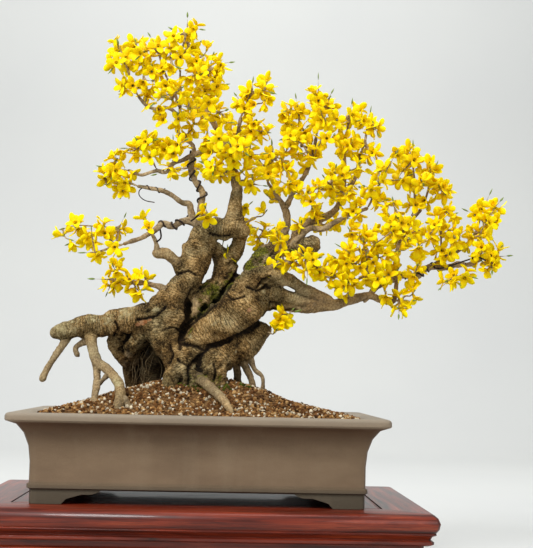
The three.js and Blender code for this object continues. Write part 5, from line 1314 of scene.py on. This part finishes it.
# Painted shade: the colour is darkened in creases spaced along each thin limb, plus darker patches at random.
creases = (1 - np.abs(np.sin(along * 700 + 2 * waves(points, 0.012, 31)))) ** 3
set_number(branches, "along", along)
set_number(branches, "painted_hollow_shade", np.clip(0.45 * creases + 0.25 * waves(points, 0.02, 32), 0, 0.7))
set_number(branches, "moss", np.clip(patches(points, MOSS) * 0.4, 0, 1))
set_number(branches, "lichen", np.clip(patches(points, LICHEN) * 0.6, 0, 1))
set_number(branches, "scar", np.zeros(len(points)))
set_number(branches, "girth", np.full(len(points), 0.25))
finish_piece(branches, BRANCH_BARK)


# Training wire: the limb that it is wound on, its first and last station there, turns and radius in millimetres

WIRES = {
    "wire_upright": ("wired_upright", 1.05, 5.6, 4.6, 1.35),
    "wire_left": ("left_low", 1.15, 4.7, 3.6, 1.3),
    "wire_far_right": ("far_right", 3.0, 6.1, 4.2, 1.2),
    "wire_loose_end": ("upper_left_low", 4.3, 5.8, 2.5, 0.75),
}
LOOSE_ENDS = {
    "wire_upright": [(-16, -12, 284), (-22, -20, 279)],
    "wire_left": [(-66, -16, 252), (-71, -18, 247)],
    "wire_far_right": [(404, -14, 236), (414, -16, 232)],
    "wire_loose_end": [(-99, -20, 322), (-99.5, -20, 316), (-96, -20, 311), (-89, -20, 307), (-77, -20, 305)],
}


def wire_piece(name):
    """A wire wound tightly round a limb: limb line + (limb radius + wire radius) * (side cos + across sin), with
    the angle growing evenly along the limb. It bites into the bark a little, and its end is bent away."""
    limb, first, last, turns, wire = WIRES[name]
    line, radii, along = limb_line(limb, 0.0006)
    knots = placed(LIMBS[limb])
    at_knots = along[((line[:, None] - knots[None]) ** 2).sum(-1).argmin(0)]
    start, stop = np.interp([first, last], np.arange(len(knots)), at_knots)
    _, side, across = carried_frames(line)
    on = (along >= start) & (along <= stop)
    share = (along[on] - start) / (stop - start)
    angle = 2 * np.pi * (turns * share + 0.035 * np.sin(share * 19)) + 1.2
    reach = radii[on] * 1.03 + wire * 0.86 * MM
    wound = line[on] + reach[:, None] * (side[on] * np.cos(angle)[:, None] + across[on] * np.sin(angle)[:, None])
    end = placed([(*place, 0) for place in LOOSE_ENDS[name]])
    near_end = np.linalg.norm(wound[-1] - end[0]) < np.linalg.norm(wound[0] - end[0])
    wound = wound if near_end else wound[::-1]
    knots = np.concatenate([wound[::6], end])
    path, size, _ = flowing(knots, np.full(len(knots), wire * MM), 0.0011)
    points, quads, triangles = tube(path, size, 12)
    made = new_mesh("wound_" + name, points, [quads, triangles])
    return finish_piece(made, WIRE, [name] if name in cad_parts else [])


for name in WIRES:
    wire_piece(name)


# Fine roots that hang in the hollow under the left root

def hair_roots(count):
    """Thin roots that fall from the wood above, waver, and lie down on the soil."""
    shapes = []
    for _ in range(count):
        x, depth, top = rng.uniform(-100, -58), rng.uniform(14, 44), rng.uniform(78, 104)
        fall = np.linspace(0, 1, 7)
        drift = np.cumsum(rng.normal(0, 2.6, (7, 2)), 0)
        low = rng.uniform(30, 62)
        rows = np.stack([x + drift[:, 0] - 8 * fall, depth - 10 * fall + drift[:, 1], top + (low - top) * fall], -1)
        knots = placed(rows)
        line, size, _ = flowing(knots, np.linspace(0.5, 0.22, 7) * MM * rng.uniform(0.7, 1.5), 0.003)
        shapes.append(tube(line, size, 5))
    points, quads, triangles = joined(shapes)
    made = new_mesh("hair_roots", points, [quads, triangles])
    # Painted shade: the fine roots hang in the shaded hollow, so their whole colour is darkened.
    set_number(made, "painted_hollow_shade", np.full(len(points), 0.55))
    return finish_piece(made, BARK)


hair_roots(24)


# Leaf buds

def spindles(feet, ways, lengths, widths, sides, rings):
    """Many buds at once: round each bud's middle line the radius is width * sin(pi * share ** 0.8) ** 0.9, pressed
    flat a little, with both ends closed by a point."""
    share = np.linspace(0.04, 0.96, rings)
    size = np.sin(np.pi * share**0.8) ** 0.9
    side = unit(np.cross(ways, rng.normal(0, 1, ways.shape)))
    across = np.cross(ways, side)
    angle = np.arange(sides) * 2 * np.pi / sides
    flat = 1 + 0.22 * np.cos(2 * angle)
    out = side[:, None] * (np.cos(angle) * flat)[None, :, None] + across[:, None] * (np.sin(angle) * flat)[None, :, None]
    body = feet[:, None] + ways[:, None] * (lengths[:, None] * share[None])[..., None]
    body = body[:, :, None] + out[:, None] * (widths[:, None] * size[None])[..., None, None]
    tips = feet + ways * lengths[:, None]
    points = np.concatenate([body.reshape(len(feet), -1, 3), feet[:, None], tips[:, None]], 1)
    each = rings * sides + 2
    quads = grid_quads(rings, sides)
    j = np.arange(sides)
    n = (j + 1) % sides
    low = np.stack([n, j, np.full(sides, rings * sides)], -1)
    last = (rings - 1) * sides
    high = np.stack([last + j, last + n, np.full(sides, rings * sides + 1)], -1)
    starts = each * np.arange(len(feet))[:, None, None]
    triangles = (np.concatenate([low, high])[None] + starts).reshape(-1, 3)
    reach = np.concatenate([np.repeat(share, sides), [0, 1]])
    return points.reshape(-1, 3), (quads[None] + starts).reshape(-1, 4), triangles, np.tile(reach, len(feet))


def leaf_buds():
    """A slender green bud at the end of every shoot, and short brownish ones where no bloom stands."""
    feet, ways, lengths, widths = [], [], [], []
    for name in SPRAYS:
        _, points, bare, _ = opened[name]
        for tip, way in zip(*shoot_tips(points, bare)):
            feet.append(points[tip] - way * 5 * MM)
            ways.append(way)
            lengths.append(rng.uniform(9, 14) * MM)
            widths.append(rng.uniform(1.0, 1.45) * MM)
    for tip, way in twig_tips:
        feet.append(tip - way * 1.5 * MM)
        ways.append(way)
        lengths.append(rng.uniform(5, 10) * MM)
        widths.append(rng.uniform(0.85, 1.25) * MM)
    ends = len(feet)
    for name, place, normal in candidates:
        if rng.random() < 0.6 and np.linalg.norm(taken_feet - place, axis=1).min() > 1.5 * MM:
            feet.append(place - normal * 0.5 * MM)
            ways.append(unit(normal + rng.normal(0, 0.25, 3) + [0, 0, 0.3]))
            lengths.append(rng.uniform(3.0, 5.6) * MM)
            widths.append(rng.uniform(0.75, 1.15) * MM)
    points, quads, triangles, reach = spindles(*map(np.array, (feet, ways, lengths, widths)), 7, 5)
    made = new_mesh("leaf_buds", points, [quads, triangles])
    set_number(made, "reach", reach)
    return finish_piece(made, BUD)


taken_feet = np.array([row["foot"] for rows in extras.values() for row in rows])
leaf_buds()


# Soil grains

GRAIN_COUNT = 7200
GROUND_MOSS = [(-6, -40, 42, 13), (14, -44, 42, 15), (34, -38, 44, 12), (-30, -34, 40, 8), (64, -20, 40, 9), (0, 70, 30, 30)]
GRAIN_COLOURS = [
    (0.26, (128, 86, 46)), (0.22, (160, 116, 66)), (0.13, (100, 64, 34)), (0.17, (192, 152, 98)),
    (0.15, (228, 214, 184)), (0.07, (72, 48, 26)),
]


def icosahedron():
    """The twelve corners, at distance 1, and twenty faces of a regular icosahedron."""
    golden = (1 + np.sqrt(5)) / 2
    corners = [(a, b * golden, 0) for a in (-1, 1) for b in (-1, 1)]
    corners = np.array(corners + [(0, a, b) for a, b, _ in corners] + [(b, 0, a) for a, b, _ in corners], float)
    gap = np.linalg.norm(corners[:, None] - corners[None], axis=-1)
    i, j, k = np.meshgrid(*[np.arange(12)] * 3, indexing="ij")
    near = (i < j) & (j < k) & (gap[i, j] < 2.1) & (gap[j, k] < 2.1) & (gap[i, k] < 2.1)
    faces = np.stack([i[near], j[near], k[near]], -1)
    a, b, c = corners[faces[:, 0]], corners[faces[:, 1]], corners[faces[:, 2]]
    turned = (np.cross(b - a, c - a) * (a + b + c)).sum(1) < 0
    faces[turned] = faces[turned][:, ::-1]
    return unit(corners), faces


def on_ground(tree, x, y, top):
    """Heights and slopes of the ground under many places."""
    hits = [tree.ray_cast(Vector((a, b, top)), Vector((0, 0, -1))) for a, b in zip(x.tolist(), y.tolist())]
    found = np.array([hit[0] is not None for hit in hits])
    places = np.array([hit[0] for hit in hits if hit[0] is not None])
    return found, places, np.array([hit[1] for hit in hits if hit[0] is not None])


def soil_grains(name, low_x, high_x, count):
    """Crumbs of baked clay and pumice: icosahedra with every corner drawn in or out at random, pressed into the
    ground by a third of their size."""
    points, triangles = welded("soil")
    ground = BVHTree.FromPolygons(points.tolist(), triangles.tolist())
    low, high = points.min(0), points.max(0)
    x = rng.uniform(low_x, high_x, count)
    y = rng.uniform(low[1] + 2 * MM, high[1] - 2 * MM, count)
    _, places, normals = on_ground(ground, x, y, 0.5)
    clear = places[:, 2] > low[2] + 60 * MM
    square = ((places[:, None].astype(np.float32) - wood_line[None, ::2].astype(np.float32)) ** 2).sum(-1)
    clear &= (np.sqrt(square) - wood_radius[None, ::2]).min(1) > -2 * MM
    places, normals = places[clear], normals[clear]
    count = len(places)
    corners, faces = icosahedron()
    size = rng.choice([1.5, 2.1, 2.6, 3.1], count, p=[0.3, 0.35, 0.25, 0.1]) * rng.uniform(0.85, 1.15, count) * MM
    turn = unit(rng.normal(0, 1, (count, 4)))
    turned = rotated(turn, corners[None] * rng.uniform(0.72, 1.2, (count, 12, 1)) * rng.uniform(0.75, 1.2, (count, 1, 3)))
    centres = places + normals * (size * rng.uniform(0.15, 0.5, count))[:, None]
    body = centres[:, None] + turned * size[:, None, None]
    made = new_mesh(name, body.reshape(-1, 3), [(faces[None] + 12 * np.arange(count)[:, None, None]).reshape(-1, 3)], False)
    shares = np.cumsum([share for share, _ in GRAIN_COLOURS])
    pick = np.searchsorted(shares / shares[-1], rng.random(count))
    shades = np.array([paint(*shade)[:3] for _, shade in GRAIN_COLOURS])[pick]
    shades = np.clip(shades * rng.uniform(0.75, 1.25, (count, 1)), 0, 1)
    mossy = rng.random(count) < 1.3 * patches(centres, GROUND_MOSS)
    shades[mossy] = np.array(paint(86, 92, 26)[:3]) * rng.uniform(0.5, 1.2, (mossy.sum(), 1))
    set_colour(made, "grain", np.repeat(shades, 12, 0))
    return finish_piece(made, SOIL_GRAINS)


def rotated(quaternions, points):
    """Turns each row's points by that row's unit quaternion: p + 2 w (v x p) + 2 v x (v x p)."""
    w, v = quaternions[:, None, :1], quaternions[:, None, 1:]
    once = np.cross(np.broadcast_to(v, points.shape), points)
    return points + 2 * w * once + 2 * np.cross(np.broadcast_to(v, points.shape), once)


soil_low, soil_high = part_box("soil")
middle_x = (soil_low.x + soil_high.x) / 2
soil_grains("soil_grains_left", soil_low.x, middle_x, GRAIN_COUNT // 2)
soil_grains("soil_grains_right", middle_x, soil_high.x, GRAIN_COUNT // 2)


# Pot, stand, and what is kept of the solids

def softened(name, node, material, bevel, segments=3, smooth_under=40):
    """A joined copy of a solid, smooth where its faces meet at a small angle and bevelled where they do not."""
    points, triangles = welded(node)
    made = new_mesh(name, points, [triangles])
    edge = made.modifiers.new("worn_edges", "BEVEL")
    edge.width = bevel
    edge.segments = segments
    edge.limit_method = "ANGLE"
    edge.angle_limit = np.radians(smooth_under)
    edge.harden_normals = True
    return finish_piece(made, material, [node])


softened("clay_pot", "pot", CLAY, 1.1 * MM)
softened("frame_of_stand", "stand_frame", ROSEWOOD, 0.7 * MM, 2, 50)
softened("panel_of_stand", "stand_panel", ROSEWOOD, 0.5 * MM, 2)
softened("apron_of_stand", "stand_apron", ROSEWOOD, 0.8 * MM, 2)
for corner in ("front_left", "front_right", "back_left", "back_right"):
    softened("foot_" + corner, "stand_foot_" + corner, ROSEWOOD, 1.2 * MM, 3)
for node, material, slot in (
    ("soil", SOIL_BED, "soil"), ("drain_screen_left", DRAIN_MESH, "mesh"), ("drain_screen_right", DRAIN_MESH, "mesh"),
):
    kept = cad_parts[node]
    kept.data.materials.clear()
    kept.data.materials.append(material)


# Stage

def floor_and_backdrop():
    """A pale floor that turns up into a pale wall behind: a profile of a line, a quarter circle and a line."""
    wide, front, back, bend, top = 6.0, -4.5, 4.2, 1.6, 5.0
    angle = np.linspace(0, np.pi / 2, 24)
    y = np.concatenate([[front], back - bend + bend * np.sin(angle), [back]])
    z = np.concatenate([[0], bend - bend * np.cos(angle), [top]])
    profile = np.stack([np.zeros_like(y), y, z], -1)
    points = np.concatenate([profile + [-wide, 0, 0], profile + [wide, 0, 0]])
    n = len(profile)
    i = np.arange(n - 1)
    quads = np.stack([i, i + n, i + n + 1, i + 1], -1)
    made = new_mesh("floor_and_backdrop", points, [quads])
    finish = Finish("pale_paper", Roughness=0.9, Specular_IOR_Level=0.1)
    finish.set("Base Color", finish.ramp(finish.noise(1.5, 2), (0.3, paint(202, 203, 201)), (0.7, paint(205, 206, 203))))
    made.data.materials.append(finish.material)


def soft_light(name, place, aim, size, watts, colour=(1, 1, 1)):
    lamp = bpy.data.lights.new(name, "AREA")
    lamp.shape = "DISK"
    lamp.size = size
    lamp.energy = watts
    lamp.color = colour
    made = bpy.data.objects.new(name, lamp)
    bpy.context.scene.collection.objects.link(made)
    made.location = place
    made.rotation_euler = (Vector(aim) - Vector(place)).to_track_quat("-Z", "Y").to_euler()


def photograph_camera():
    """The camera that took the photograph: its place, its aim in yaw, pitch and roll, and its focal length."""
    right, up, ahead = camera_axes()
    data = bpy.data.cameras.new("camera")
    data.sensor_width = SENSOR
    data.lens = SENSOR * PHOTO_FOCAL_PIXELS / max(PHOTO_WIDTH, PHOTO_HEIGHT)
    data.clip_start, data.clip_end = 0.05, 50
    camera = bpy.data.objects.new("camera", data)
    bpy.context.scene.collection.objects.link(camera)
    matrix = Matrix.Identity(4)
    for column, axis in enumerate((right, up, -ahead)):
        for row in range(3):
            matrix[row][column] = float(axis[row])
    matrix.translation = Vector((EYE + MIDDLE).tolist())
    camera.matrix_world = matrix
    bpy.context.scene.camera = camera


floor_and_backdrop()
soft_light("key_light", (-1.4, -1.9, 2.3), (0, 0, 0.45), 1.2, 84)
soft_light("fill_light", (1.9, -1.7, 1.2), (0, 0, 0.4), 1.6, 14)
soft_light("top_light", (0.2, 0.3, 2.8), (0, 0, 0.4), 1.8, 30)
soft_light("wall_light", (0, 1.6, 3.6), (0, 4.2, 1.0), 2.2, 84)
world = bpy.data.worlds.new("studio")
world.use_nodes = True
world.node_tree.nodes["Background"].inputs["Color"].default_value = paint(240, 243, 246)
world.node_tree.nodes["Background"].inputs["Strength"].default_value = 0.52
bpy.context.scene.world = world
photograph_camera()
bpy.context.scene.view_settings.view_transform = "Standard"
